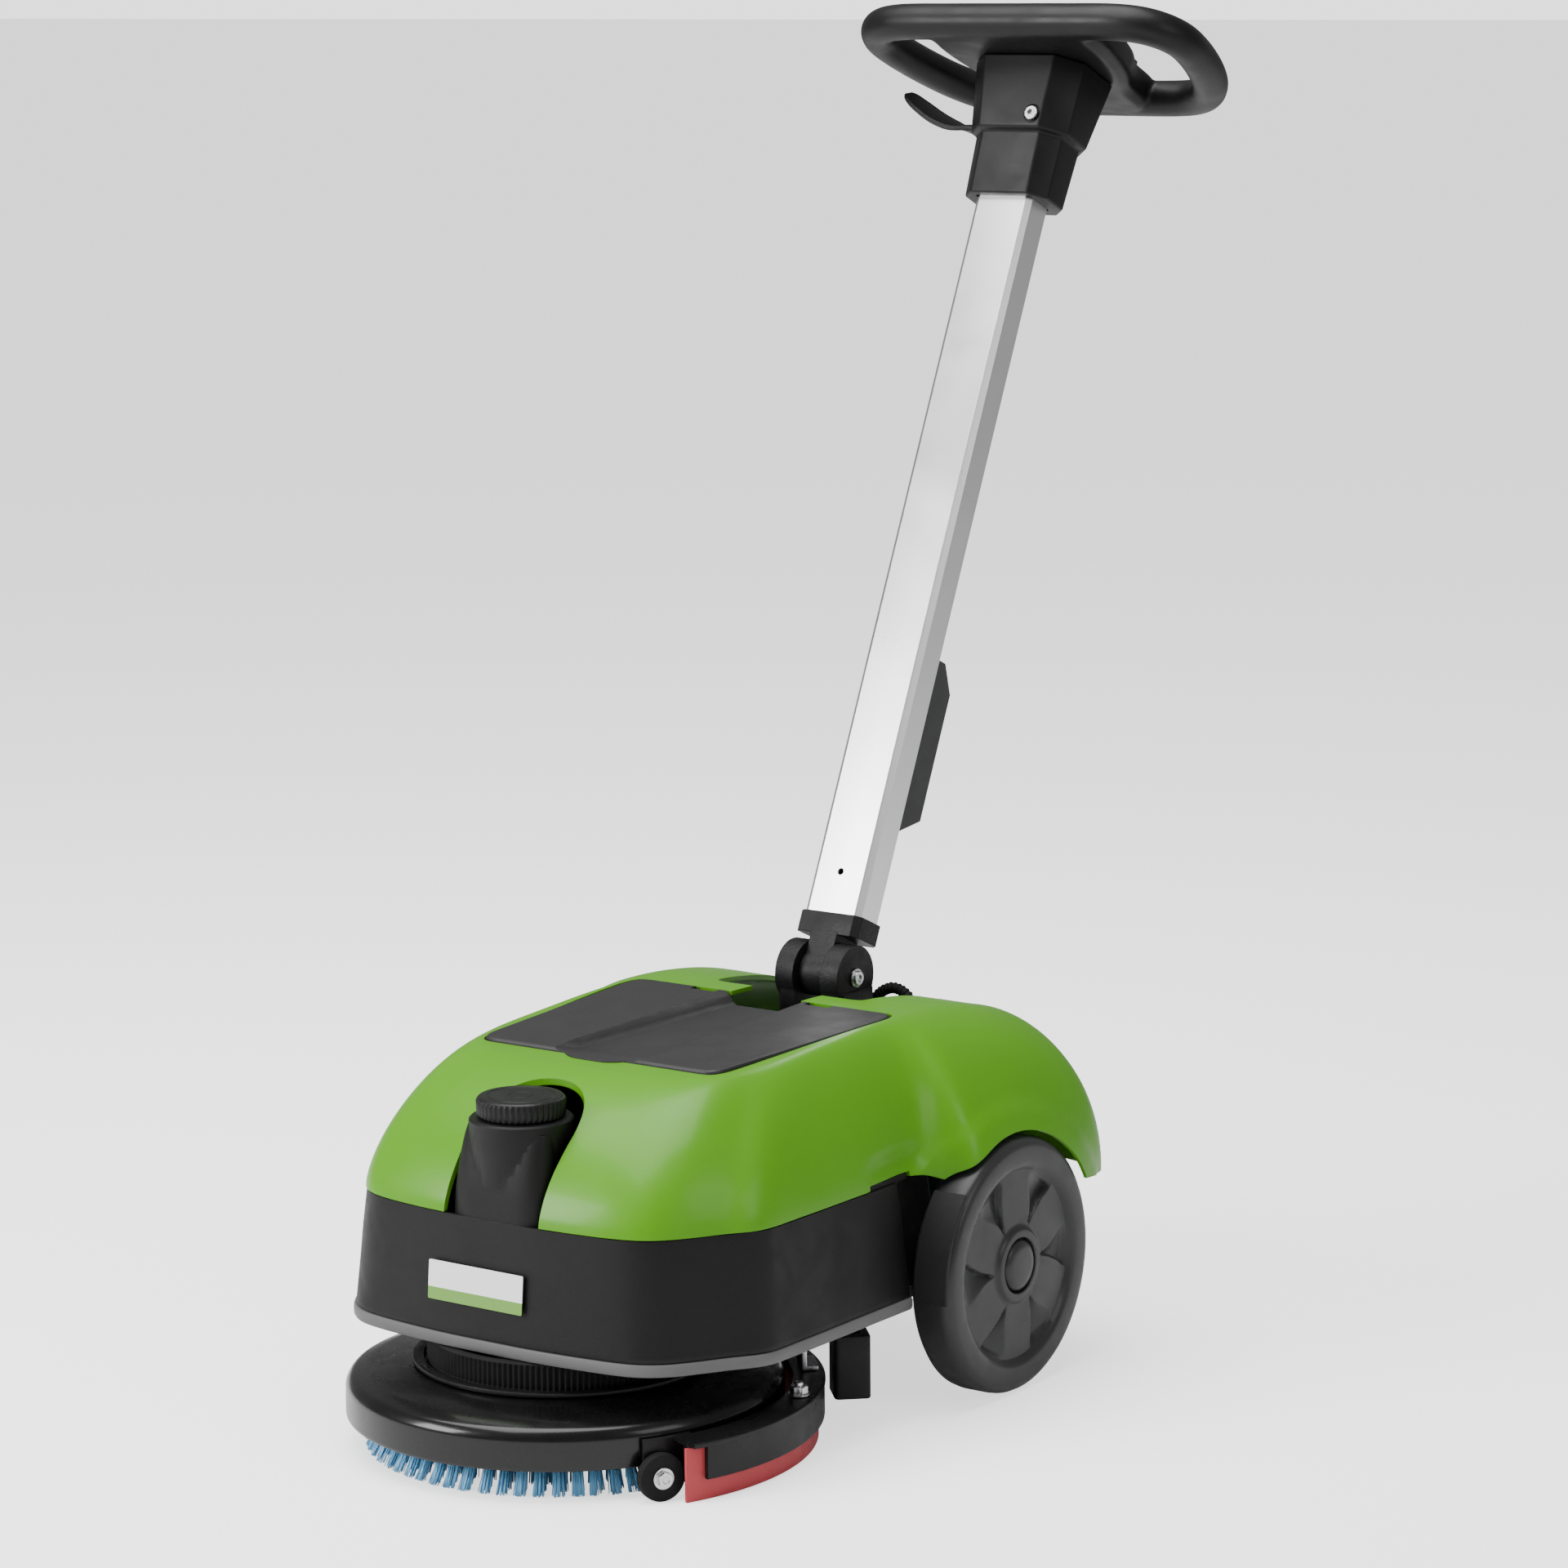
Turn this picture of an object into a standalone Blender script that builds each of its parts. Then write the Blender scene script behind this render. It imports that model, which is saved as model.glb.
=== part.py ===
"""Walk-behind floor scrubber: round brush deck under a tank body, two rear wheels,
a folding mast with a closed ring handle, and a squeegee that swings round the deck.
Metres, +Z up, the machine drives towards -Y. Lengths below are written in millimetres
from the brush axis and go through mm() once."""
import bpy
import bmesh
import numpy as np
from math import cos, pi, radians, sin
from mathutils import Matrix, Vector

# ---- driving dimensions, millimetres, measured from the brush axis on the floor ----
CENTRE_Y = 283.7          # half way along the whole machine, the row's origin
MAST_LEAN = 24.5          # degrees the mast leans back at rest
FOLD_Y = 318.0            # mast fold axis
FOLD_Z = 272.0
WHEEL_Y = 263.0           # wheel axle
WHEEL_R = 93.0
WHEEL_IN = 173.0          # inner and outer face of a wheel
WHEEL_OUT = 208.0
BRUSH_R = 140.0
DECK_R = 153.0
SWEEP_R = 174.5           # squeegee blade radius round the brush axis
SWEEP_A = -24.0           # squeegee ends, degrees from +X
SWEEP_B = 110.0
PLATE_Z0 = 80.0           # chassis plate
PLATE_Z1 = 89.0
TANK_TOP = 171.5
COVER_Z = 172.2
LID_Y = 243.4            # lid hinge line along its rear top edge
LID_PIVOT_Z = 268.8
MAST_W = 50.0
MAST_D = 30.0
MAST_V = 4.8              # mast centre line behind the fold axis
HEAD_S = 613.0            # where the head housing starts, along the mast
RING_S = 734.5
GAP = 0.35

for old in list(bpy.data.objects):
    bpy.data.objects.remove(old, do_unlink=True)
scene = bpy.context.scene
parts = bpy.data.collections.new("floor_scrubber")
cutters = bpy.data.collections.new("cutters")
scene.collection.children.link(parts)
scene.collection.children.link(cutters)


def mm(*values):
    """Millimetres to metres; three values make a point in the row's frame."""
    if len(values) == 1:
        return values[0] / 1000.0
    return Vector((values[0] / 1000.0, (values[1] - CENTRE_Y) / 1000.0, values[2] / 1000.0))


def paint(name, colour, roughness, metallic=0.0):
    """A Principled material."""
    material = bpy.data.materials.new(name)
    material.use_nodes = True
    shader = material.node_tree.nodes["Principled BSDF"]
    shader.inputs["Base Color"].default_value = (*colour, 1.0)
    shader.inputs["Roughness"].default_value = roughness
    shader.inputs["Metallic"].default_value = metallic
    material.diffuse_color = (*colour, 1.0)
    return material


GREEN = ("green_plastic", (0.16, 0.35, 0.045), 0.35)
BLACK = ("black_plastic", (0.02, 0.02, 0.021), 0.5)
SATIN = ("satin_black", (0.014, 0.014, 0.015), 0.3)
GREY = ("grey_plastic", (0.075, 0.075, 0.077), 0.38)
STRIP = ("grey_edge", (0.17, 0.165, 0.165), 0.5)
SILVER = ("anodised_aluminium", (0.62, 0.62, 0.63), 0.32, 1.0)
STEEL = ("bright_steel", (0.55, 0.55, 0.56), 0.25, 1.0)
ZINC = ("zinc_plate", (0.42, 0.42, 0.43), 0.45, 1.0)
CAST = ("cast_black", (0.022, 0.022, 0.023), 0.6, 0.4)
BLUE = ("blue_bristle", (0.16, 0.42, 0.75), 0.6)
RED = ("red_rubber", (0.62, 0.11, 0.13), 0.55)
RUBBER = ("black_rubber", (0.012, 0.012, 0.012), 0.75)
WHITE = ("white_label", (0.85, 0.86, 0.84), 0.4)
COPPER = ("motor_body", (0.2, 0.2, 0.21), 0.4, 0.8)
BOARD = ("board_green", (0.02, 0.12, 0.06), 0.5)


def finish(obj, look, smooth=False, keep=True):
    """Give a piece its own material and put it in the object's collection."""
    obj.data.materials.clear()
    if keep:
        obj.data.materials.append(paint(obj.name + "_" + look[0], *look[1:]))
        parts.objects.link(obj)
    else:
        obj.hide_render = True
        obj.display_type = "WIRE"
        cutters.objects.link(obj)
    if smooth:
        for face in obj.data.polygons:
            face.use_smooth = True
    return obj


def tidy_mesh(mesh):
    """Weld doubled points, drop slivers and make every face look outwards."""
    work = bmesh.new()
    work.from_mesh(mesh)
    bmesh.ops.remove_doubles(work, verts=work.verts, dist=2e-6)
    bmesh.ops.dissolve_degenerate(work, edges=work.edges, dist=2e-6)
    if work.calc_volume(signed=True) < 0:
        bmesh.ops.reverse_faces(work, faces=work.faces)
    work.to_mesh(mesh)
    work.free()
    mesh.update()


def solid(name, points, faces, look=None, smooth=False, at=None, turn=0.0):
    """A closed mesh. Its origin goes to `at` (millimetres) and it leans by `turn` about X."""
    mesh = bpy.data.meshes.new(name)
    if at is None:
        verts = [mm(*p) for p in points]
    else:
        verts = [Vector(p) / 1000.0 for p in points]
    mesh.from_pydata(verts, [], faces)
    tidy_mesh(mesh)
    obj = bpy.data.objects.new(name, mesh)
    if at is not None:
        obj.location = mm(*at)
        obj.rotation_euler = (turn, 0.0, 0.0)
    return finish(obj, look, smooth, look is not None)


def loft(name, rings, look=None, smooth=False, at=None, turn=0.0, flip=False):
    """A skin over rings of equally many points, closed with a face at each end."""
    count = len(rings[0])
    points = [p for ring in rings for p in ring]
    faces = []
    for k in range(len(rings) - 1):
        for i in range(count):
            j = (i + 1) % count
            a, b = k * count + i, k * count + j
            c, d = b + count, a + count
            faces.append((a, b, c, d))
    faces.append(tuple(range(count))[::-1])
    last = (len(rings) - 1) * count
    faces.append(tuple(range(last, last + count)))
    if flip:
        faces = [f[::-1] for f in faces]
    return solid(name, points, faces, look, smooth, at, turn)


def settle(obj, look, smooth=True):
    """Swap an object's modifiers for the mesh they make, and give it its look."""
    bpy.context.view_layer.update()
    graph = bpy.context.evaluated_depsgraph_get()
    mesh = bpy.data.meshes.new_from_object(obj.evaluated_get(graph))
    obj.modifiers.clear()
    tidy_mesh(mesh)
    obj.data = mesh
    scene.collection.objects.unlink(obj)
    return finish(obj, look, smooth, look is not None)


def turned(name, profile, look=None, seg=32, at=(0, 0, 0), axis="Z", phase=0.0, turn=0.0, smooth=True):
    """A profile of (radius, height) points turned with a Screw modifier. axis X or Y lays it down."""
    mesh = bpy.data.meshes.new(name)
    line = [Vector((r, 0.0, h)) / 1000.0 for r, h in profile]
    start = Matrix.Rotation(2 * pi * phase / seg, 3, "Z")
    ends = profile[0][0] > 0 or profile[-1][0] > 0
    edges = [(k, k + 1) for k in range(len(line) - 1)] + ([(len(line) - 1, 0)] if ends else [])
    mesh.from_pydata([start @ p for p in line], edges, [])
    obj = bpy.data.objects.new(name, mesh)
    scene.collection.objects.link(obj)
    screw = obj.modifiers.new("turn", "SCREW")
    screw.steps = seg
    screw.render_steps = seg
    screw.use_merge_vertices = True
    screw.merge_threshold = 0.00001
    settle(obj, look, smooth)
    lay = {"X": Matrix(((0, 0, 1), (1, 0, 0), (0, 1, 0))), "Y": Matrix(((0, 1, 0), (0, 0, 1), (1, 0, 0)))}
    if axis in lay:
        obj.data.transform(lay[axis].to_4x4())
    if at is None:
        obj.data.transform(Matrix.Translation(mm(0, 0, 0)))
    else:
        obj.location = mm(*at)
        obj.rotation_euler = (turn, 0.0, 0.0)
    return obj


def tube(name, r_out, r_in, h0, h1, look=None, **more):
    """A round tube or, with r_in 0, a plain round bar."""
    if r_in > 0:
        return turned(name, [(r_in, h1), (r_out, h1), (r_out, h0), (r_in, h0)], look, **more)
    return turned(name, [(0, h1), (r_out, h1), (r_out, h0), (0, h0)], look, **more)


def piped(name, path, radius, look=None, closed=False, at=None, turn=0.0):
    """A round bar along a POLY curve, as mesh."""
    wire = bpy.data.curves.new(name, "CURVE")
    wire.dimensions = "3D"
    wire.bevel_depth = mm(radius)
    wire.bevel_resolution = 2
    wire.use_fill_caps = True
    run = wire.splines.new("POLY")
    run.points.add(len(path) - 1)
    for knot, point in zip(run.points, path):
        knot.co = (*(mm(*point) if at is None else Vector(point) / 1000.0), 1.0)
    run.use_cyclic_u = closed
    guide = bpy.data.objects.new(name + "_guide", wire)
    scene.collection.objects.link(guide)
    bpy.context.view_layer.update()
    graph = bpy.context.evaluated_depsgraph_get()
    mesh = bpy.data.meshes.new_from_object(guide.evaluated_get(graph))
    bpy.data.objects.remove(guide)
    tidy_mesh(mesh)
    obj = bpy.data.objects.new(name, mesh)
    if at is not None:
        obj.location = mm(*at)
        obj.rotation_euler = (turn, 0.0, 0.0)
    return finish(obj, look, True, look is not None)


def block(name, low, high, look=None, chamfer=0.0, at=None, turn=0.0):
    """A cube between two corners, its upright edges bevelled by `chamfer`."""
    work = bmesh.new()
    bmesh.ops.create_cube(work, size=1.0)
    size = Vector(high) - Vector(low)
    middle = (Vector(high) + Vector(low)) / 2
    bmesh.ops.scale(work, vec=size / 1000.0, verts=work.verts)
    if chamfer > 0:
        upright = [e for e in work.edges if abs(e.verts[0].co.z - e.verts[1].co.z) > 1e-6]
        bmesh.ops.bevel(work, geom=upright, offset=chamfer / 1000.0, segments=1, affect="EDGES")
    shift = mm(*middle) if at is None else middle / 1000.0
    bmesh.ops.translate(work, vec=shift, verts=work.verts)
    mesh = bpy.data.meshes.new(name)
    work.to_mesh(mesh)
    work.free()
    obj = bpy.data.objects.new(name, mesh)
    if at is not None:
        obj.location = mm(*at)
        obj.rotation_euler = (turn, 0.0, 0.0)
    return finish(obj, look, False, look is not None)


def boolean(obj, other, kind="DIFFERENCE"):
    """Boolean with another mesh object, applied at once so that the piece is plain mesh."""
    mod = obj.modifiers.new(kind.lower(), "BOOLEAN")
    mod.operation = kind
    mod.solver = "EXACT"
    mod.object = other
    bpy.context.view_layer.update()
    graph = bpy.context.evaluated_depsgraph_get()
    result = bpy.data.meshes.new_from_object(obj.evaluated_get(graph))
    obj.modifiers.clear()
    tidy_mesh(result)
    obj.data = result
    bpy.data.objects.remove(other, do_unlink=True)
    return obj


def bend(half):
    """Mirror half an outline (x >= 0, front to back) into a full anticlockwise loop."""
    left = [(-x, y) for x, y in half if x > 0.01]
    return [p for p in half] + left[::-1]


def smooth_line(keys, steps):
    """Catmull-Rom points through the keys."""
    pts = np.array(keys, float)
    ext = np.vstack([2 * pts[0] - pts[1], pts, 2 * pts[-1] - pts[-2]])
    out = []
    for k in range(1, len(ext) - 2):
        for i in range(steps):
            t = i / steps
            a, b, c, d = ext[k - 1], ext[k], ext[k + 1], ext[k + 2]
            out.append(0.5 * (2 * b + (c - a) * t + (2 * a - 5 * b + 4 * c - d) * t * t
                              + (3 * b - a - 3 * c + d) * t ** 3))
    out.append(pts[-1])
    return [tuple(float(v) for v in p) for p in out]


# ---- chassis plate: the grey edge strip all round the bottom of the body ----
NOSE = [(0, -88), (36, -87.6), (72, -84.8), (104, -80.5), (122, -75), (136, -65), (147, -51),
        (161, -29), (176.5, -5), (179, 25), (180, 100), (181, 166)]


def body_plan(inset, back=384):
    """The body's outline, brought in by `inset`, narrowed between the wheels and closed at `back`."""
    half = [(max(x - inset * min(1.0, x / 90.0), 0.0), y + inset * (1.0 if y < -4 else 0.0)) for x, y in NOSE]
    half[-1] = (half[-1][0], 166 - inset)
    back = back - inset
    half += [(164 - inset, 166 - inset), (164 - inset, back - 12), (150 - inset, back), (0, back)]
    return bend(half)


plate = loft("chassis_plate", [[(x, y, z) for x, y in body_plan(0)] for z in (PLATE_Z0, PLATE_Z1)], STRIP)
boolean(plate, tube("hole", 64, 0, 60, 100))
boolean(plate, tube("axle_channel", 8.4, 0, -190, 190, seg=32, at=(0, WHEEL_Y, WHEEL_R), axis="X"))

# ---- lower tank: an open tub with the filler neck moulded on its front ----
low = PLATE_Z1 + GAP
tub = loft("lower_tank", [[(x, y, low) for x, y in body_plan(1.5, 240)],
                          [(x, y, TANK_TOP) for x, y in body_plan(8, 240)],
                          [(x, y, TANK_TOP) for x, y in body_plan(11, 240)],
                          [(x, y, low + 3) for x, y in body_plan(5, 240)]], BLACK)
neck = turned("neck", [(0, 168.6), (32.5, 168.6), (34, 190), (35, 214), (36, 232), (36, 238), (0, 238)], seg=24, at=(0, -44, 0), phase=0.5)
web = loft("web", [[(-37, -79.2, 166), (37, -79.2, 166), (39.5, -70, 166), (39.5, -46, 166), (-39.5, -46, 166), (-39.5, -70, 166)],
                   [(-33, -78.6, 186), (33, -78.6, 186), (39, -66, 186), (39, -46, 186), (-39, -46, 186), (-39, -66, 186)],
                   [(-26, -76, 212), (26, -76, 212), (37, -60, 212), (37, -46, 212), (-37, -46, 212), (-37, -60, 212)],
                   [(-20, -70, 231), (20, -70, 231), (34, -54, 231), (34, -46, 231), (-34, -46, 231), (-34, -54, 231)]])
boolean(neck, web, "UNION")
boolean(tub, neck, "UNION")
boolean(tub, tube("bore", 27, 0, 150, 250, seg=24, at=(0, -44, 0), phase=0.25))
boolean(tub, tube("well", 64.5, 0, 60, 120))

# ---- rear housing: the walls between the wheels that carry the suction motor ----
rear = block("rear_housing", (-161, 242, PLATE_Z1 + GAP), (161, 382, 134), BLACK, chamfer=10)
boolean(rear, block("room", (-158, 245, 80), (158, 379, 140), chamfer=9))
boolean(rear, tube("axle_hole", 9, 0, -190, 190, seg=32, at=(0, WHEEL_Y, WHEEL_R), axis="X"))

# ---- green cover: a domed shell with the lid opening, neck cut-out, arches and mast bay ----
LOWER = [(0, -80, COVER_Z), (36, -79.6, COVER_Z), (70, -77, COVER_Z), (98, -72.5, COVER_Z),
         (117, -66, COVER_Z), (130, -56, COVER_Z), (141, -42, COVER_Z), (154, -21, COVER_Z),
         (169, 3, COVER_Z), (171.5, 50, COVER_Z), (172.5, 120, COVER_Z), (174, 180, COVER_Z),
         (186, 201, 166), (205, 214, 160), (210, 240, 155), (211, 300, 145), (210, 350, 139), (200, 388, 136),
         (165, 402, 136), (110, 404.5, 136), (50, 405, 136), (0, 405, 136)]
CREST = [(0, 22, 261), (26, 22, 261), (52, 23, 261), (74, 26, 261.5), (90, 32, 262), (100, 40, 262.5),
         (107, 52, 263), (112, 72, 263.5), (115, 100, 264.5), (117, 140, 266), (118, 180, 267.5),
         (118, 210, 268.2), (118, 228, 268.4), (118, 250, 268.4), (117, 285, 267), (116, 318, 263), (114, 340, 259),
         (106, 356, 255), (88, 366, 252), (60, 371, 251), (30, 373, 251), (0, 373, 251)]


def cover_rings(inset, levels):
    low_half = np.array(smooth_line(LOWER, 2))
    top_half = np.array(smooth_line(CREST, 2))
    rings = []
    # the section swells from a soft bow at the nose to a full haunch over the wheels
    power = np.interp(low_half[:, 1], [-80, 60, 190, 300], [1.5, 1.45, 1.6, 1.95])
    for k in range(levels):
        rise = sin(pi / 2 * k / (levels - 1))
        draw = 1 - (1 - rise ** power) ** (1 / power)
        xy = low_half[:, :2] + (top_half[:, :2] - low_half[:, :2]) * draw[:, None]
        z = low_half[:, 2] + (top_half[:, 2] - low_half[:, 2]) * rise
        centre = np.array([0.0, 165.0])
        reach = np.linalg.norm(xy - centre, axis=1)
        xy = centre + (xy - centre) * ((reach - inset) / reach)[:, None]
        xy[0, 0] = 0.0
        xy[-1, 0] = 0.0
        z = z - inset
        half = [(float(p[0]), float(p[1]), float(h)) for p, h in zip(xy, z)]
        rings.append(half + [(-x, y, h) for x, y, h in half[1:-1]][::-1])
    return rings


def dome(name, rings, look=None):
    """Skin over mirrored rings, the two ends closed with strips from side to side."""
    count = len(rings[0])
    n = count // 2 + 1
    points = [p for ring in rings for p in ring]
    faces = []
    for k in range(len(rings) - 1):
        for i in range(count):
            j = (i + 1) % count
            faces.append((k * count + i, k * count + j, (k + 1) * count + j, (k + 1) * count + i))
    for k, way in ((0, -1), (len(rings) - 1, 1)):
        for i in range(n - 1):
            near = [i, i + 1, (count - i - 1) % count, (count - i) % count]
            face = [k * count + q for s, q in enumerate(near) if q != near[s - 1]]
            faces.append(tuple(face[::way]))
    return solid(name, points, faces, look, True)


cover = dome("tank_cover", cover_rings(0, 8), GREEN)
hollow = cover_rings(3.2, 6)
hollow = [[(p[0], p[1], 100.0) for p in hollow[0]]] + hollow
boolean(cover, dome("hollow", hollow))
for side in (1, -1):
    arch = tube("arch", 97, 0, 150 if side > 0 else -230, 230 if side > 0 else -150, seg=48,
                at=(0, WHEEL_Y, WHEEL_R), axis="X")
    boolean(cover, arch)
boolean(cover, loft("lid_hole", [[(x, y, z) for x, y in ((-98, 38), (98, 38), (105, 47), (117.2, 229), (113, 244),
                                                         (-113, 244), (-117.2, 229), (-105, 47))] for z in (240, 300)]))
boolean(cover, block("bay", (-66, 270, 215), (66, 430, 300), chamfer=8))
boolean(cover, block("fold_gap", (-31, 236, 255), (31, 276, 300)))
boolean(cover, turned("neck_gap", [(0, 300), (43, 300), (43, 250), (42, 226), (41, 200), (41, 100), (0, 100)], seg=28,
                      at=(0, -44, 0)))
boolean(cover, block("neck_slot", (-41, -120, 100), (41, -46, 230)))

# ---- recovery tank: the tub under the lid ----
rt = [[(x, y, z) for x, y in ((-a, b), (a, b), (a, c), (-a, c))] for a, b, c, z in
      ((84, 58, 226, 182.0), (92, 48, 236, 250.0), (89, 51, 233, 250.0), (81, 61, 223, 185.0))]
loft("recovery_tank", rt, BLACK)

# ---- lid with the mast groove, hinged at its rear edge, and its soft seal ----
LID_Z = 266.5
lid = loft("tank_lid", [[(x, y, LID_Z - 9) for x, y in ((-96, 44), (96, 44), (100, 50), (112, 226), (108, 241),
                                                       (-108, 241), (-112, 226), (-100, 50))],
                        [(x, y, LID_Z - 2) for x, y in ((-98, 39), (98, 39), (104, 47), (116, 228), (112, 243),
                                                       (-112, 243), (-116, 228), (-104, 47))],
                        [(x, y, LID_Z + (y - 140) * 0.02) for x, y in ((-96, 41), (96, 41), (102, 48), (114, 227),
                         (110, 241), (-110, 241), (-114, 227), (-102, 48))]], BLACK)
groove = loft("groove", [[(-28, 30, 300), (-28, 30, 262), (28, 30, 262), (28, 30, 300)],
                         [(-32, 250, 300), (-32, 250, 262.0), (32, 250, 262.0), (32, 250, 300)]], flip=True)
boolean(lid, groove)
pad = loft("pad", [[(x, y, z) for x, y in ((-34, 52), (34, 52), (38, 232), (-38, 232))] for z in (253, 259.5)])
boolean(lid, pad, "UNION")
boolean(lid, block("gutter", (-28, 20, 256.5), (28, 260, 300)))
boolean(lid, block("notch_a", (40, 234, 200), (62, 260, 300)))
boolean(lid, block("notch_b", (-62, 234, 200), (-40, 260, 300)))
lid.data.transform(Matrix.Translation(-mm(0, LID_Y, LID_PIVOT_Z)))
lid.location = mm(0, LID_Y, LID_PIVOT_Z)
seal = block("lid_seal", (-93, 47, 250.4), (93, 237, 252.6), RUBBER)
boolean(seal, block("core", (-86, 54, 240), (86, 230, 260)))

# ---- filler cap, ribbed screw cap on the neck ----
cap = turned("filler_cap", [(0, 229), (26.3, 229), (26.3, 238.4), (29.5, 238.4), (29.8, 250), (28, 252.5), (0, 252.5)],
             BLACK, seg=32, at=(0, -44, 0))
for k in range(12):
    a = 2 * pi * k / 12
    rib = block("rib", (28.6, -1.6, 239.5), (31.2, 1.6, 250))
    rib.data.transform(Matrix.Translation(Vector((0, mm(CENTRE_Y), 0))))
    rib.data.transform(Matrix.Translation(mm(0, -44, 0)) @ Matrix.Rotation(a, 4, "Z"))
    boolean(cap, rib, "UNION")

# ---- deck: round skirted shroud and the finned collar up to the chassis plate ----
deck = turned("deck_shroud", [(40, 46), (134, 40), (149.5, 34), (149.5, 22), (DECK_R, 22), (DECK_R, 42), (147, 49.5),
                              (138, 52.5), (104, 58), (40, 58)], SATIN, seg=64)
collar = turned("deck_collar", [(90, 58.4), (96, 58.4), (96, 79.6), (90, 79.6)], RUBBER, seg=48)

# ---- brush: hub plate and ring of bristles ----
hub = turned("brush_hub", [(0, 20), (128, 20), (128, 32), (60, 36), (36, 44.5), (24, 45), (24, 62), (0, 62)], BLACK, seg=40)
bristles = turned("brush_bristles", [(96, 0), (BRUSH_R, 0), (132, 20), (127, 19.6), (104, 19.6)], BLUE, seg=56)

# ---- brush motor and gearbox standing in the well of the lower tank ----
gear = turned("gearbox", [(24.4, 63), (62, 63), (62, 96), (52, 104), (24.4, 104)], COPPER, seg=36)
boolean(gear, tube("shaft_gap", 25, 0, 55, 78))
motor = tube("brush_motor", 40, 0, 104.5, 168, COPPER, seg=32)

# ---- squeegee: arc holder, two blades, arm, suction port, rollers and nuts ----


def arc(name, r0, r1, z0, z1, a0, a1, look=None, steps=22):
    """An upright arc band round the brush axis."""
    rings = []
    for k in range(steps + 1):
        a = radians(a0 + (a1 - a0) * k / steps)
        rings.append([(r * cos(a), r * sin(a), z) for r, z in ((r0, z0), (r1, z0), (r1, z1), (r0, z1))])
    return loft(name, rings, look, False)


MID = (SWEEP_A + SWEEP_B) / 2
holder = arc("squeegee_holder", 165, 172.5, 12, 41, SWEEP_A + 1.5, SWEEP_B - 1.5, SATIN)
boolean(holder, arc("flange", 158, 181, 38, 42, SWEEP_A, SWEEP_B), "UNION")
boolean(holder, arc("clamp_band", 176.4, 180.4, 15, 40, SWEEP_A + 3.5, SWEEP_B - 3.5), "UNION")
blade = arc("squeegee_blade_rear", 173, 176, 0, 37.6, SWEEP_A - 1.0, SWEEP_B + 1.0, RED)
arc("squeegee_blade_front", 161.5, 164.5, 0.6, 37.6, SWEEP_A + 1.5, SWEEP_B - 1.5, RED)
swing = tube("squeegee_ring", 106, 98, 59, 62, ZINC, seg=48)


def polar(obj, angle):
    """Turn a piece drawn on the +X side round the brush axis."""
    obj.data.transform(Matrix.Translation(mm(0, 0, 0)) @ Matrix.Rotation(radians(angle), 4, "Z")
                       @ Matrix.Translation(-mm(0, 0, 0)))
    return obj


arm = polar(block("arm", (101, -14, 59), (168, 14, 62)), MID)
boolean(swing, arm, "UNION")
boolean(swing, polar(block("drop", (164, -14, 42.6), (168, 14, 62)), MID), "UNION")
boolean(swing, polar(block("foot", (164, -14, 42.6), (176, 14, 45.4)), MID), "UNION")
port = polar(block("squeegee_port", (187, -15, 20), (213, 15, 66), CAST, chamfer=4), MID)
boolean(port, polar(block("duct", (193, -9, 10), (207, 9, 80)), MID))
for n, angle in enumerate((MID - 24, MID + 24)):
    nut = polar(turned("squeegee_nut_%d" % (n + 1), [(0, 42.4), (7, 42.4), (7, 44), (5, 44), (5, 50), (0, 50)],
                       STEEL, seg=12, at=None), angle)
    nut.data.transform(Matrix.Translation(Vector((mm(169) * cos(radians(angle)), mm(169) * sin(radians(angle)), 0))))


def seat(obj, point, lean=0.0):
    """Move a piece's origin to a point on its joint axis, keeping the piece where it is."""
    frame = Matrix.Translation(point) @ Matrix.Rotation(lean, 4, "X")
    obj.data.transform(frame.inverted())
    obj.matrix_world = frame
    return obj


for label, edge, way in (("front", SWEEP_A, -1), ("rear", SWEEP_B, 1)):
    lo, hi = sorted((edge + way * 9.0, edge - way * 4.0))
    boolean(holder, arc("lug", 154.2, 157.6, 9, 42, lo, hi, steps=4), "UNION")
    lo, hi = sorted((edge + way * 0.5, edge - way * 4.0))
    boolean(holder, arc("tie", 155, 175, 38, 42, lo, hi, steps=2), "UNION")
    spot = edge + way * 5.2
    centre = mm(0, 0, 0) + Vector((mm(162) * cos(radians(spot)), mm(162) * sin(radians(spot)), mm(16.5)))
    roller = turned("roller_" + label, [(3.05, 158.0), (16.5, 158.0), (16.5, 166.0), (3.05, 166.0)], RUBBER,
                    seg=24, at=None, axis="X")
    roller.data.transform(Matrix.Translation((0, 0, mm(16.5))))
    seat(polar(roller, spot), centre)
    bolt = turned("roller_bolt_" + label, [(0, 157.9), (3, 157.9), (3, 166.4), (5.5, 166.4), (5.5, 169.5), (0, 169.5)],
                  STEEL, seg=24, at=None, axis="X")
    bolt.data.transform(Matrix.Translation((0, 0, mm(16.5))))
    polar(bolt, spot)

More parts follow.
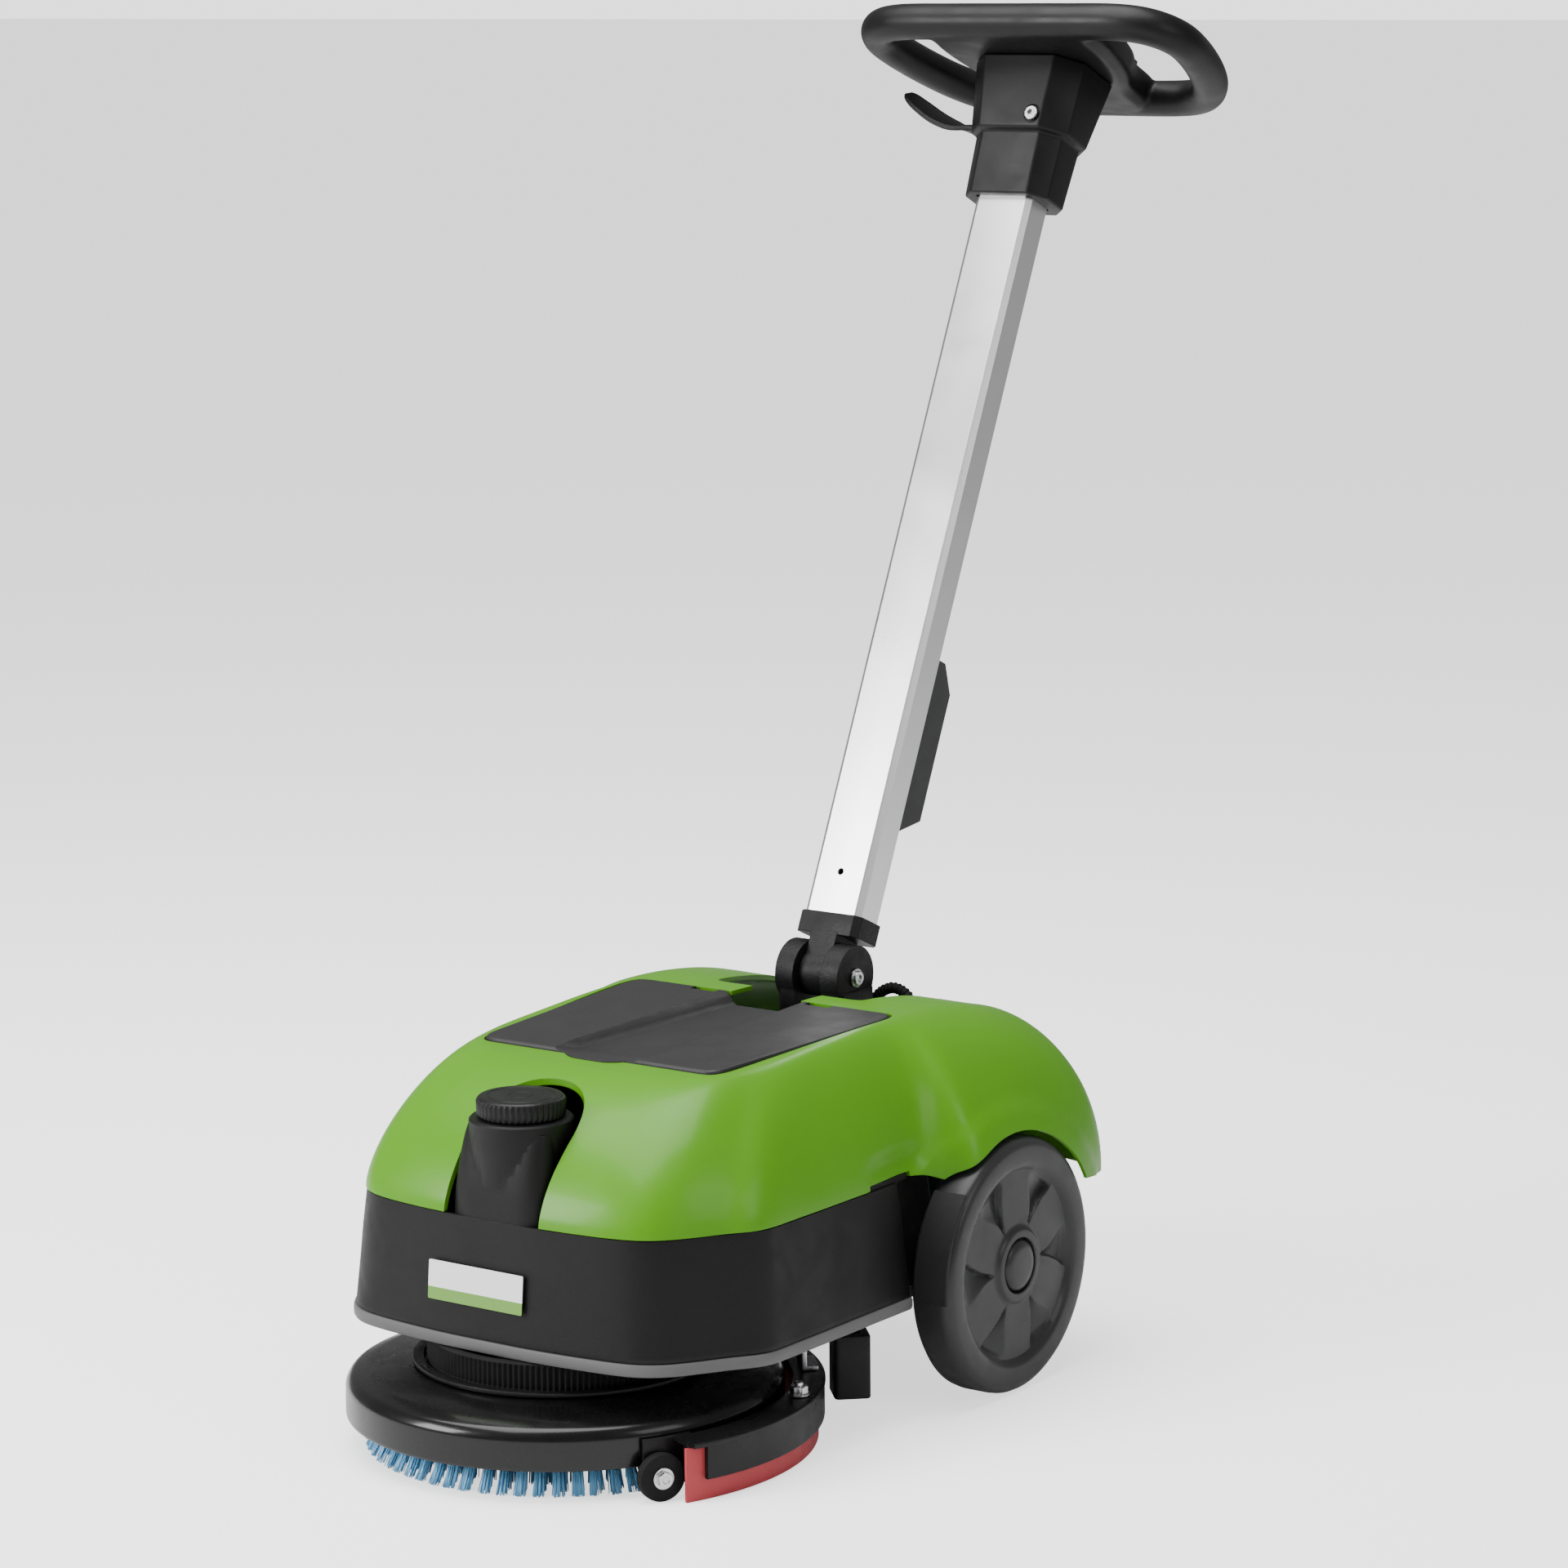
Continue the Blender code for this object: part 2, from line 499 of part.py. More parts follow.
# ---- running gear: axle, bearing blocks, wheels, caps and the flaps in front of the wheels ----
tube("wheel_axle", 8, 0, -205, 205, STEEL, seg=32, at=(0, WHEEL_Y, WHEEL_R), axis="X")
for side, label in ((1, "right"), (-1, "left")):
    bearing = block("bearing_block_" + label, (122 if side > 0 else -150, 246, 89.4),
                    (150 if side > 0 else -122, 280, 112), GREY)
    boolean(bearing, tube("bore", 8.4, 0, -205, 205, seg=32, at=(0, WHEEL_Y, WHEEL_R), axis="X"))
    face = (WHEEL_IN, WHEEL_OUT) if side > 0 else (-WHEEL_IN, -WHEEL_OUT)
    hubs = [(8.05, WHEEL_IN), (24, WHEEL_IN), (28, WHEEL_IN + 6), (70, WHEEL_IN + 8), (74, WHEEL_IN + 1),
            (84, WHEEL_IN), (WHEEL_R, WHEEL_IN + 8), (WHEEL_R, WHEEL_OUT - 9), (91, WHEEL_OUT - 3), (86, WHEEL_OUT),
            (74, WHEEL_OUT - 0.5), (69, WHEEL_OUT - 6), (30, WHEEL_OUT - 4), (26, WHEEL_OUT - 1), (20, WHEEL_OUT - 1),
            (20, WHEEL_OUT - 7), (8.05, WHEEL_OUT - 7)]
    cap_line = [(0, WHEEL_OUT + 1.5), (13, WHEEL_OUT + 1.5), (18.5, WHEEL_OUT - 1),
                (18.5, WHEEL_OUT - 6.6), (8.6, WHEEL_OUT - 6.6), (8.6, WHEEL_OUT - 2.6), (0, WHEEL_OUT - 2.6)]
    if side < 0:
        hubs = [(r, -h) for r, h in hubs][::-1]
        cap_line = [(r, -h) for r, h in cap_line]
    turned("wheel_" + label, hubs, GREY, seg=40, at=(0, WHEEL_Y, WHEEL_R), axis="X")
    turned("wheel_cap_" + label, cap_line, GREY, seg=24, at=(0, WHEEL_Y, WHEEL_R), axis="X")
    rings = []
    for k in range(9):
        a = radians(-4 + 47 * k / 8)
        rings.append([(side * x, WHEEL_Y - r * cos(a), WHEEL_R + r * sin(a))
                      for x, r in ((182, 96.5), (209, 96.5), (209, 99.5), (182, 99.5))])
    loft("wheel_flap_" + label, rings, GREY)

# ---- inside the body: batteries, suction motor, pump, board, hoses ----
for side, label in ((1, "right"), (-1, "left")):
    block("battery_" + label, (side * 80 - 62, 72, 93), (side * 80 + 62, 158, 168), GREY, chamfer=3)
tube("suction_motor", 37, 0, 89.4, 168, COPPER, seg=32, at=(-94, 324, 0))
tube("water_pump", 20, 0, 93, 150, COPPER, seg=24, at=(70, 196, 0))
block("control_board", (40, 300, 89.4), (130, 304, 160), BOARD)

# ---- mast hinge: pedestal casting with two cheeks, and the pin across them ----
pedestal = block("hinge_bracket", (-29, 297, PLATE_Z1 + GAP), (29, 343, 262), CAST, chamfer=4)
boolean(pedestal, tube("cheek", 24, 0, -28, 28, seg=32, at=(0, FOLD_Y, FOLD_Z), axis="X"), "UNION")
boolean(pedestal, block("slot", (-12.2, 280, 240), (12.2, 360, 310)))
boolean(pedestal, tube("bore", 6.05, 0, -40, 40, seg=24, at=(0, FOLD_Y, FOLD_Z), axis="X"))
tray = loft("bay_tray", [[(x, y, z) for x, y in ((-64, 274), (64, 274), (64, 385), (-64, 385))] for z in (206, 209)], GREEN)
boolean(tray, block("pedestal_gap", (-30, 296, 200), (30, 344, 215)))
pin = turned("hinge_pin", [(0, -30.6), (4.5, -30.6), (6, -29.6), (6, 29.6), (4.5, 30.6), (0, 30.6)], STEEL, seg=24,
             at=(0, FOLD_Y, FOLD_Z), axis="X")

# ---- mast, all drawn upright in its own frame and leaned back about the fold axis ----
FOLD = dict(at=(0, FOLD_Y, FOLD_Z), turn=-radians(MAST_LEAN))
v0, v1 = MAST_V - MAST_D / 2, MAST_V + MAST_D / 2
foot = block("mast_foot", (-27.5, v0 - 2.4, 28), (27.5, v1 + 2.4, 44), CAST, chamfer=5, **FOLD)
boolean(foot, block("neck", (-11.5, -13, 0), (11.5, 17, 30), **FOLD), "UNION")
boolean(foot, tube("barrel", 17, 0, -11.5, 11.5, seg=32, axis="X", **FOLD), "UNION")
boolean(foot, tube("bore", 6.05, 0, -40, 40, seg=24, axis="X", **FOLD))
boolean(foot, block("spigot", (-21, v0 + 4, 40), (21, v1 - 4, 70), chamfer=3, **FOLD), "UNION")
mast = block("mast_tube", (-MAST_W / 2, v0, 44.3), (MAST_W / 2, v1, 660), SILVER, chamfer=4, **FOLD)
boolean(mast, block("inside", (-21.8, v0 + 3.2, 20), (21.8, v1 - 3.2, 700), chamfer=3, **FOLD))
case = loft("mast_box", [[(-20, v1 + GAP, 117), (20, v1 + GAP, 117), (20, v1 + GAP + 1, 117), (-20, v1 + GAP + 1, 117)],
                         [(-20, v1 + GAP, 133), (20, v1 + GAP, 133), (20, 48, 133), (-20, 48, 133)],
                         [(-20, v1 + GAP, 233), (20, v1 + GAP, 233), (20, 48, 233), (-20, 48, 233)],
                         [(-20, v1 + GAP, 253), (20, v1 + GAP, 253), (20, v1 + GAP + 12, 253), (-20, v1 + GAP + 12, 253)]],
            GREY, **FOLD)


def octagon(w, d, c, s, v):
    x, y = w / 2, d / 2
    return [(-x + c, v - y, s), (x - c, v - y, s), (x, v - y + c, s), (x, v + y - c, s),
            (x - c, v + y, s), (-x + c, v + y, s), (-x, v + y - c, s), (-x, v - y + c, s)]


hv = MAST_V + 2
AT_SCREW = dict(at=tuple(np.array(FOLD["at"]) + np.array([19.5, 0, 0]) + 674 * np.array([0, sin(radians(MAST_LEAN)), cos(radians(MAST_LEAN))])),
                turn=FOLD["turn"])
head = loft("head_housing", [octagon(75, 48, 12, HEAD_S, hv), octagon(78, 53, 13, HEAD_S + 49, hv),
                             octagon(88, 63, 17, HEAD_S + 49.5, hv), octagon(99, 79, 18, HEAD_S + 107, hv)], BLACK, **FOLD)
boolean(head, block("socket", (-25.3, v0 - 0.3, 600), (25.3, v1 + 0.3, 660.4), chamfer=4, **FOLD))
boolean(head, block("lever_slot", (-60, -4, 667), (-30, 14, 682), **FOLD))
boolean(head, tube("recess", 7, 0, -50, -24.5, seg=16, axis="Y", **AT_SCREW))
turned("head_screw", [(0, -28.5), (5.5, -28.5), (5.5, -24.9), (0, -24.9)], STEEL, seg=16, axis="Y", **AT_SCREW)

# ---- ring handle with the console plate moulded across its middle ----
RING = [(0, -59), (50, -59), (96, -58), (121, -49), (134, -29), (134, -2), (126, 33), (114, 62), (97, 81), (68, 88), (0, 88)]
loop = bend(smooth_line(RING, 3))
ring = piped("handle_ring", [(x, y, RING_S) for x, y in loop], 14.0, BLACK, closed=True, **FOLD)
PLATE = [(0, -60), (66, -60), (74, -50), (74, -20), (66, 20), (54, 50), (48, 88), (0, 88)]
ph = bend(smooth_line(PLATE, 2))
console = loft("console", [[(x * 0.9, y * 0.92, 720.4) for x, y in ph], [(x, y, 729) for x, y in ph],
                           [(x, y, 743.5) for x, y in ph], [(x * 0.92, y * 0.94, 748.5) for x, y in ph]], **FOLD)
boolean(ring, console, "UNION")
boolean(ring, block("panel_bed", (-51, -41, 746.5), (51, 61, 760), **FOLD))
panel = block("console_panel", (-50, -40, 746.8), (50, 60, 751), GREY, chamfer=6, **FOLD)
for side, label in ((1, "suction"), (-1, "brush")):
    x = side * 24
    boolean(panel, block("key_gap", (x - 11, -6, 748), (x + 11, 14, 760), **FOLD))
    block("switch_" + label, (x - 10.4, -5.4, 749.7), (x + 10.4, 13.4, 753.7), RUBBER, **FOLD)
boolean(panel, block("gauge_bed", (-16.5, 31.5, 749.5), (16.5, 48.5, 760), **FOLD))
block("battery_gauge", (-16, 32, 749.8), (16, 48, 751.7), BOARD, **FOLD)

# ---- paddle lever on the left of the head ----
PIVOT = (-40.0, 5.0, 674.0)
lever_rings = []
for reach, rise, wide, thick in ((-6, -2, 5.5, 5), (8, -2, 6.5, 5), (26, 0, 10, 4.6), (46, 7, 12, 4.4), (66, 18, 11, 4.2),
                                 (80, 27, 6, 3.6)):
    lever_rings.append([(PIVOT[0] - reach, PIVOT[1] - wide, PIVOT[2] + rise - thick / 2),
                        (PIVOT[0] - reach, PIVOT[1] + wide, PIVOT[2] + rise - thick / 2),
                        (PIVOT[0] - reach, PIVOT[1] + wide, PIVOT[2] + rise + thick / 2),
                        (PIVOT[0] - reach, PIVOT[1] - wide, PIVOT[2] + rise + thick / 2)])
lever = loft("paddle_lever", lever_rings, BLACK, **FOLD)

# ---- cable conduit: a held, ribbed hose that leaves the pedestal and drops through the tray ----
HOSE = [(18, 349, 232), (20, 350, 242), (27, 351, 250), (38, 352, 252), (48, 353, 247), (53, 354, 236), (54, 355, 224),
        (54, 355, 213)]
route = smooth_line([(x, y) for x, y, z in HOSE], 3)
height = smooth_line([(x, z) for x, y, z in HOSE], 3)
piped("cable_conduit", [(x, y, z) for (x, y), (_, z) in zip(route, height)], 4.5, RUBBER)

# ---- front label: a thin blank plate on the nose ----
loft("front_label", [[(x, y - 0.5, z) for x, y, z in ((-50, -86.4, 112), (32, -86.9, 112), (32, -84.6, 139), (-50, -84.1, 139))],
                     [(x, y - 1.3, z) for x, y, z in ((-50, -86.4, 112), (32, -86.9, 112), (32, -84.6, 139), (-50, -84.1, 139))]],
     WHITE, flip=True)
bpy.context.view_layer.update()
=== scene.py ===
"""Walk-behind floor scrubber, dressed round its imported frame.
Each section makes one piece or group of like pieces, in the order the machine is put together."""

from math import cos, hypot, pi, radians, sin

import bmesh
import bpy
import numpy as np
from mathutils import Matrix, Vector


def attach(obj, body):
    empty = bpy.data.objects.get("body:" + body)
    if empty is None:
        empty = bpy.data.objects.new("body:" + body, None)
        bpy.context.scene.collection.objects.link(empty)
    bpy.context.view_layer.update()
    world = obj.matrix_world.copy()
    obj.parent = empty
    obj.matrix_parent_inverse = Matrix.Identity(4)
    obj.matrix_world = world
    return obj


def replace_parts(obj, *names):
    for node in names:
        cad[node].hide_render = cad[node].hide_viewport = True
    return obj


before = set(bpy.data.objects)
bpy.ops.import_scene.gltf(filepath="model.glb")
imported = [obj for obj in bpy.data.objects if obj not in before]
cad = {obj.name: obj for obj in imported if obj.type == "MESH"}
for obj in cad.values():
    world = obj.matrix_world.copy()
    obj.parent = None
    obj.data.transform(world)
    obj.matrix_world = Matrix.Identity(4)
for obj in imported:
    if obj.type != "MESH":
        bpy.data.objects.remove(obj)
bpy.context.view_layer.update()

# ---- camera, floor and lamps ----
# A long lens from the front right, as high as a standing person's waist, over a pale sweep
# of floor with large soft lamps, so that the mouldings show broad gentle highlights.
azimuth, pitch, roll = radians(35.4), radians(-9.8), radians(-0.5)
ahead = Vector((-sin(azimuth) * cos(pitch), cos(azimuth) * cos(pitch), sin(pitch)))
level = Vector((cos(azimuth), sin(azimuth), 0.0))
upward = level.cross(ahead)
across = level * cos(roll) + upward * sin(roll)
upright = upward * cos(roll) - level * sin(roll)
lens = bpy.data.cameras.new("studio_camera")
lens.lens = 110.29
lens.sensor_width = 36.0
lens.clip_start = 0.05
camera = bpy.data.objects.new("studio_camera", lens)
turn = Matrix((across, upright, -ahead)).transposed().to_4x4()
turn.translation = Vector((1.9954, -2.8229, 1.0167))
camera.matrix_world = turn
bpy.context.scene.collection.objects.link(camera)
bpy.context.scene.camera = camera

sweep = bmesh.new()
bmesh.ops.create_grid(sweep, x_segments=1, y_segments=1, size=60.0)
floor_mesh = bpy.data.meshes.new("studio_floor")
sweep.to_mesh(floor_mesh)
sweep.free()
floor = bpy.data.objects.new("studio_floor", floor_mesh)
bpy.context.scene.collection.objects.link(floor)
floor_paint = bpy.data.materials.new("pale_floor_paint")
floor_paint.use_nodes = True
nodes, links = floor_paint.node_tree.nodes, floor_paint.node_tree.links
cloud = nodes.new("ShaderNodeTexNoise")
cloud.inputs["Scale"].default_value = 1.5
tint = nodes.new("ShaderNodeMix")
tint.data_type = "RGBA"
tint.inputs["A"].default_value = (0.93, 0.93, 0.93, 1.0)
tint.inputs["B"].default_value = (0.95, 0.95, 0.95, 1.0)
links.new(cloud.outputs["Fac"], tint.inputs["Factor"])
links.new(tint.outputs["Result"], nodes["Principled BSDF"].inputs["Base Color"])
nodes["Principled BSDF"].inputs["Roughness"].default_value = 0.75
nodes["Principled BSDF"].inputs["Specular IOR Level"].default_value = 0.1
nodes["Principled BSDF"].inputs["Emission Color"].default_value = (1.0, 1.0, 1.0, 1.0)
glow = nodes.new("ShaderNodeMapRange")
glow.inputs["To Min"].default_value = 0.05
glow.inputs["To Max"].default_value = 1.3
links.new(nodes.new("ShaderNodeLightPath").outputs["Is Camera Ray"], glow.inputs["Value"])
links.new(glow.outputs["Result"], nodes["Principled BSDF"].inputs["Emission Strength"])
floor_mesh.materials.append(floor_paint)

sky = bpy.data.worlds.new("studio_walls")
sky.use_nodes = True
sky.node_tree.nodes["Background"].inputs["Color"].default_value = (1.0, 1.0, 1.0, 1.0)
seen = sky.node_tree.nodes.new("ShaderNodeLightPath")
wall_glow = sky.node_tree.nodes.new("ShaderNodeMapRange")
wall_glow.inputs["To Min"].default_value = 0.27
wall_glow.inputs["To Max"].default_value = 2.2
sky.node_tree.links.new(seen.outputs["Is Camera Ray"], wall_glow.inputs["Value"])
sky.node_tree.links.new(wall_glow.outputs["Result"], sky.node_tree.nodes["Background"].inputs["Strength"])
bpy.context.scene.world = sky


def soft_lamp(name, place, aim, size, watts):
    """A square soft box hung at `place` and turned towards `aim`."""
    lamp = bpy.data.lights.new(name, "AREA")
    lamp.shape = "SQUARE"
    lamp.size = size
    lamp.energy = watts
    hung = bpy.data.objects.new(name, lamp)
    hung.location = place
    hung.rotation_euler = (Vector(aim) - Vector(place)).to_track_quat("-Z", "Y").to_euler()
    bpy.context.scene.collection.objects.link(hung)


soft_lamp("overhead_soft_box", (-0.3, -0.4, 2.6), (0.0, 0.0, 0.1), 2.2, 105.0)
soft_lamp("front_left_soft_box", (-1.6, -2.6, 1.5), (0.0, -0.1, 0.35), 1.3, 95.0)
soft_lamp("right_soft_box", (2.6, -0.3, 1.6), (0.0, 0.0, 0.4), 1.2, 14.0)

# ---- chassis plate ----
# The grey edge strip all round the foot of the body: a thick matt moulded rim under the tank.
# It is moulded in one piece and the tank, the rear housing and the hinge post stand on it.
GREY_RIM = (0.12, 0.117, 0.117)
plate_bottom, plate_top = 80.0, 89.0
brush_ahead = 283.7                 # from the middle of the machine forward to the brush axis
axle_y, axle_z = 263.0, 93.0
nose_line = [(0, -88), (36, -87.6), (72, -84.8), (104, -80.5), (122, -75), (136, -65), (147, -51),
             (161, -29), (176.5, -5), (179, 25), (180, 100), (181, 166)]


def at(x, y, z):
    """A point given in millimetres from the brush axis on the floor, in the frame's metres."""
    return Vector((x / 1000.0, (y - brush_ahead) / 1000.0, z / 1000.0))


def stacked(outline, heights):
    """One outline, in millimetres, repeated at each height."""
    return [[at(x, y, z) for x, y in outline] for z in heights]


def curved(keys, steps):
    """Points on a smooth line through the keys."""
    keys = np.array(keys, float)
    row = np.vstack([2 * keys[0] - keys[1], keys, 2 * keys[-1] - keys[-2]])
    line = []
    for k in range(1, len(row) - 2):
        a, b, c, d = row[k - 1:k + 3]
        for i in range(steps):
            t = i / steps
            line.append(0.5 * (2 * b + (c - a) * t + (2 * a - 5 * b + 4 * c - d) * t ** 2
                               + (3 * b - a - 3 * c + d) * t ** 3))
    line.append(keys[-1])
    return [tuple(float(v) for v in p) for p in line]


def rounded(corners, radius, steps=4, closed=True):
    """A flat outline with its corners eased to about `radius`."""
    line = []
    count = len(corners)
    for k, corner in enumerate(corners):
        here = np.array(corner, float)
        if not closed and k in (0, count - 1):
            line.append(tuple(here))
            continue
        before = np.array(corners[k - 1], float)
        after = np.array(corners[(k + 1) % count], float)
        back = min(radius, 0.45 * np.linalg.norm(before - here))
        on = min(radius, 0.45 * np.linalg.norm(after - here))
        start = here + (before - here) / max(np.linalg.norm(before - here), 1e-9) * back
        end = here + (after - here) / max(np.linalg.norm(after - here), 1e-9) * on
        for i in range(steps + 1):
            t = i / steps
            line.append(tuple((1 - t) ** 2 * start + 2 * t * (1 - t) * here + t * t * end))
    return line


def made(name, points, faces, finish, crisp=35.0):
    """A mesh object from points in metres, shaded smooth up to the `crisp` angle."""
    mesh = bpy.data.meshes.new(name)
    mesh.from_pydata([tuple(p) for p in points], [], faces)
    work = bmesh.new()
    work.from_mesh(mesh)
    bmesh.ops.remove_doubles(work, verts=work.verts, dist=2e-6)
    bmesh.ops.recalc_face_normals(work, faces=work.faces)
    work.to_mesh(mesh)
    work.free()
    for face in mesh.polygons:
        face.use_smooth = True
    mesh.set_sharp_from_angle(angle=radians(crisp))
    piece = bpy.data.objects.new(name, mesh)
    bpy.context.scene.collection.objects.link(piece)
    if finish is not None:
        mesh.materials.append(finish)
    return piece


def skin(name, rings, finish, crisp=35.0, ring_closed=True, ends=True, looped=False):
    """A surface over rings of equally many points, in metres."""
    count = len(rings[0])
    points = [p for ring in rings for p in ring]
    faces = []
    last = len(rings) if looped else len(rings) - 1
    for k in range(last):
        n = (k + 1) % len(rings)
        for i in range(count if ring_closed else count - 1):
            j = (i + 1) % count
            faces.append((k * count + i, k * count + j, n * count + j, n * count + i))
    if ends and not looped:
        faces.append(tuple(range(count)))
        faces.append(tuple(range((len(rings) - 1) * count, len(rings) * count)))
    return made(name, points, faces, finish, crisp)


def settled(piece, crisp=35.0):
    """Takes a piece's modifiers into its mesh."""
    bpy.context.view_layer.update()
    graph = bpy.context.evaluated_depsgraph_get()
    mesh = bpy.data.meshes.new_from_object(piece.evaluated_get(graph))
    piece.modifiers.clear()
    piece.data = mesh
    for face in mesh.polygons:
        face.use_smooth = True
    mesh.set_sharp_from_angle(angle=radians(crisp))
    return piece


def cut(piece, tool, way="DIFFERENCE", crisp=35.0):
    """Cuts a tool out of a piece, or joins it on, and throws the tool away."""
    knife = piece.modifiers.new("cut", "BOOLEAN")
    knife.operation = way
    knife.solver = "EXACT"
    knife.object = tool
    settled(piece, crisp)
    bpy.data.objects.remove(tool, do_unlink=True)
    return piece


def eased(piece, width, steps=3, angle=30.0):
    """Rounds a piece's edges by `width` millimetres."""
    round_over = piece.modifiers.new("eased_edges", "BEVEL")
    round_over.width = width / 1000.0
    round_over.segments = steps
    round_over.limit_method = "ANGLE"
    round_over.angle_limit = radians(angle)
    settled(piece, 40.0)
    return piece


def node_group(name, takes, gives):
    """An empty shader group with named inputs (name, kind, value) and outputs (name, kind)."""
    group = bpy.data.node_groups.new(name, "ShaderNodeTree")
    kinds = {"value": "NodeSocketFloat", "colour": "NodeSocketColor", "vector": "NodeSocketVector"}
    for title, kind, value in takes:
        socket = group.interface.new_socket(title, in_out="INPUT", socket_type=kinds[kind])
        if value is not None:
            socket.default_value = value
    for title, kind in gives:
        group.interface.new_socket(title, in_out="OUTPUT", socket_type=kinds[kind])
    return group, group.nodes.new("NodeGroupInput"), group.nodes.new("NodeGroupOutput")


def wire(tree, start, end):
    """Joins an output socket to an input socket."""
    tree.links.new(start, end)


def maths(tree, kind, first, second, clamp=False):
    """A Math node; each side is a socket or a number."""
    node = tree.nodes.new("ShaderNodeMath")
    node.operation = kind
    node.use_clamp = clamp
    for slot, value in zip(node.inputs, (first, second)):
        if isinstance(value, (int, float)):
            slot.default_value = value
        else:
            tree.links.new(value, slot)
    return node.outputs[0]


# Moulded grain: a fine pebbled skin, a slow drift of shade, and patches more and less polished.
grain, grain_in, grain_out = node_group(
    "moulded_grain",
    [("Place", "vector", None), ("Grain Scale", "value", 900.0), ("Patch Scale", "value", 9.0)],
    [("Height", "value"), ("Shade", "value"), ("Polish", "value")])
fine = grain.nodes.new("ShaderNodeTexNoise")
fine.inputs["Detail"].default_value = 3.0
fine.inputs["Roughness"].default_value = 0.62
slow = grain.nodes.new("ShaderNodeTexNoise")
slow.inputs["Detail"].default_value = 4.0
rub = grain.nodes.new("ShaderNodeTexNoise")
rub.inputs["Detail"].default_value = 6.0
rub.inputs["Distortion"].default_value = 0.6
for pattern, size in ((fine, "Grain Scale"), (slow, "Patch Scale")):
    wire(grain, grain_in.outputs["Place"], pattern.inputs["Vector"])
    wire(grain, grain_in.outputs[size], pattern.inputs["Scale"])
wire(grain, grain_in.outputs["Place"], rub.inputs["Vector"])
wire(grain, maths(grain, "MULTIPLY", grain_in.outputs["Patch Scale"], 4.0), rub.inputs["Scale"])
wire(grain, fine.outputs["Fac"], grain_out.inputs["Height"])
wire(grain, slow.outputs["Fac"], grain_out.inputs["Shade"])
wire(grain, rub.outputs["Fac"], grain_out.inputs["Polish"])

# Worn edges: the rounded normal of each edge, and a broken mask along it.
worn, worn_in, worn_out = node_group(
    "worn_edges",
    [("Place", "vector", None), ("Radius", "value", 0.001), ("Strength", "value", 3.0)],
    [("Normal", "vector"), ("Mask", "value")])
edge = worn.nodes.new("ShaderNodeBevel")
edge.samples = 4
wire(worn, worn_in.outputs["Radius"], edge.inputs["Radius"])
true_face = worn.nodes.new("ShaderNodeNewGeometry")
facing = worn.nodes.new("ShaderNodeVectorMath")
facing.operation = "DOT_PRODUCT"
wire(worn, edge.outputs["Normal"], facing.inputs[0])
wire(worn, true_face.outputs["Normal"], facing.inputs[1])
turned_away = maths(worn, "SUBTRACT", 1.0, facing.outputs["Value"])
scuff = worn.nodes.new("ShaderNodeTexNoise")
scuff.inputs["Scale"].default_value = 60.0
scuff.inputs["Detail"].default_value = 5.0
wire(worn, worn_in.outputs["Place"], scuff.inputs["Vector"])
broken = maths(worn, "MULTIPLY", turned_away, maths(worn, "SUBTRACT", scuff.outputs["Fac"], 0.3))
wire(worn, maths(worn, "MULTIPLY", broken, worn_in.outputs["Strength"], True), worn_out.inputs["Mask"])
wire(worn, edge.outputs["Normal"], worn_out.inputs["Normal"])


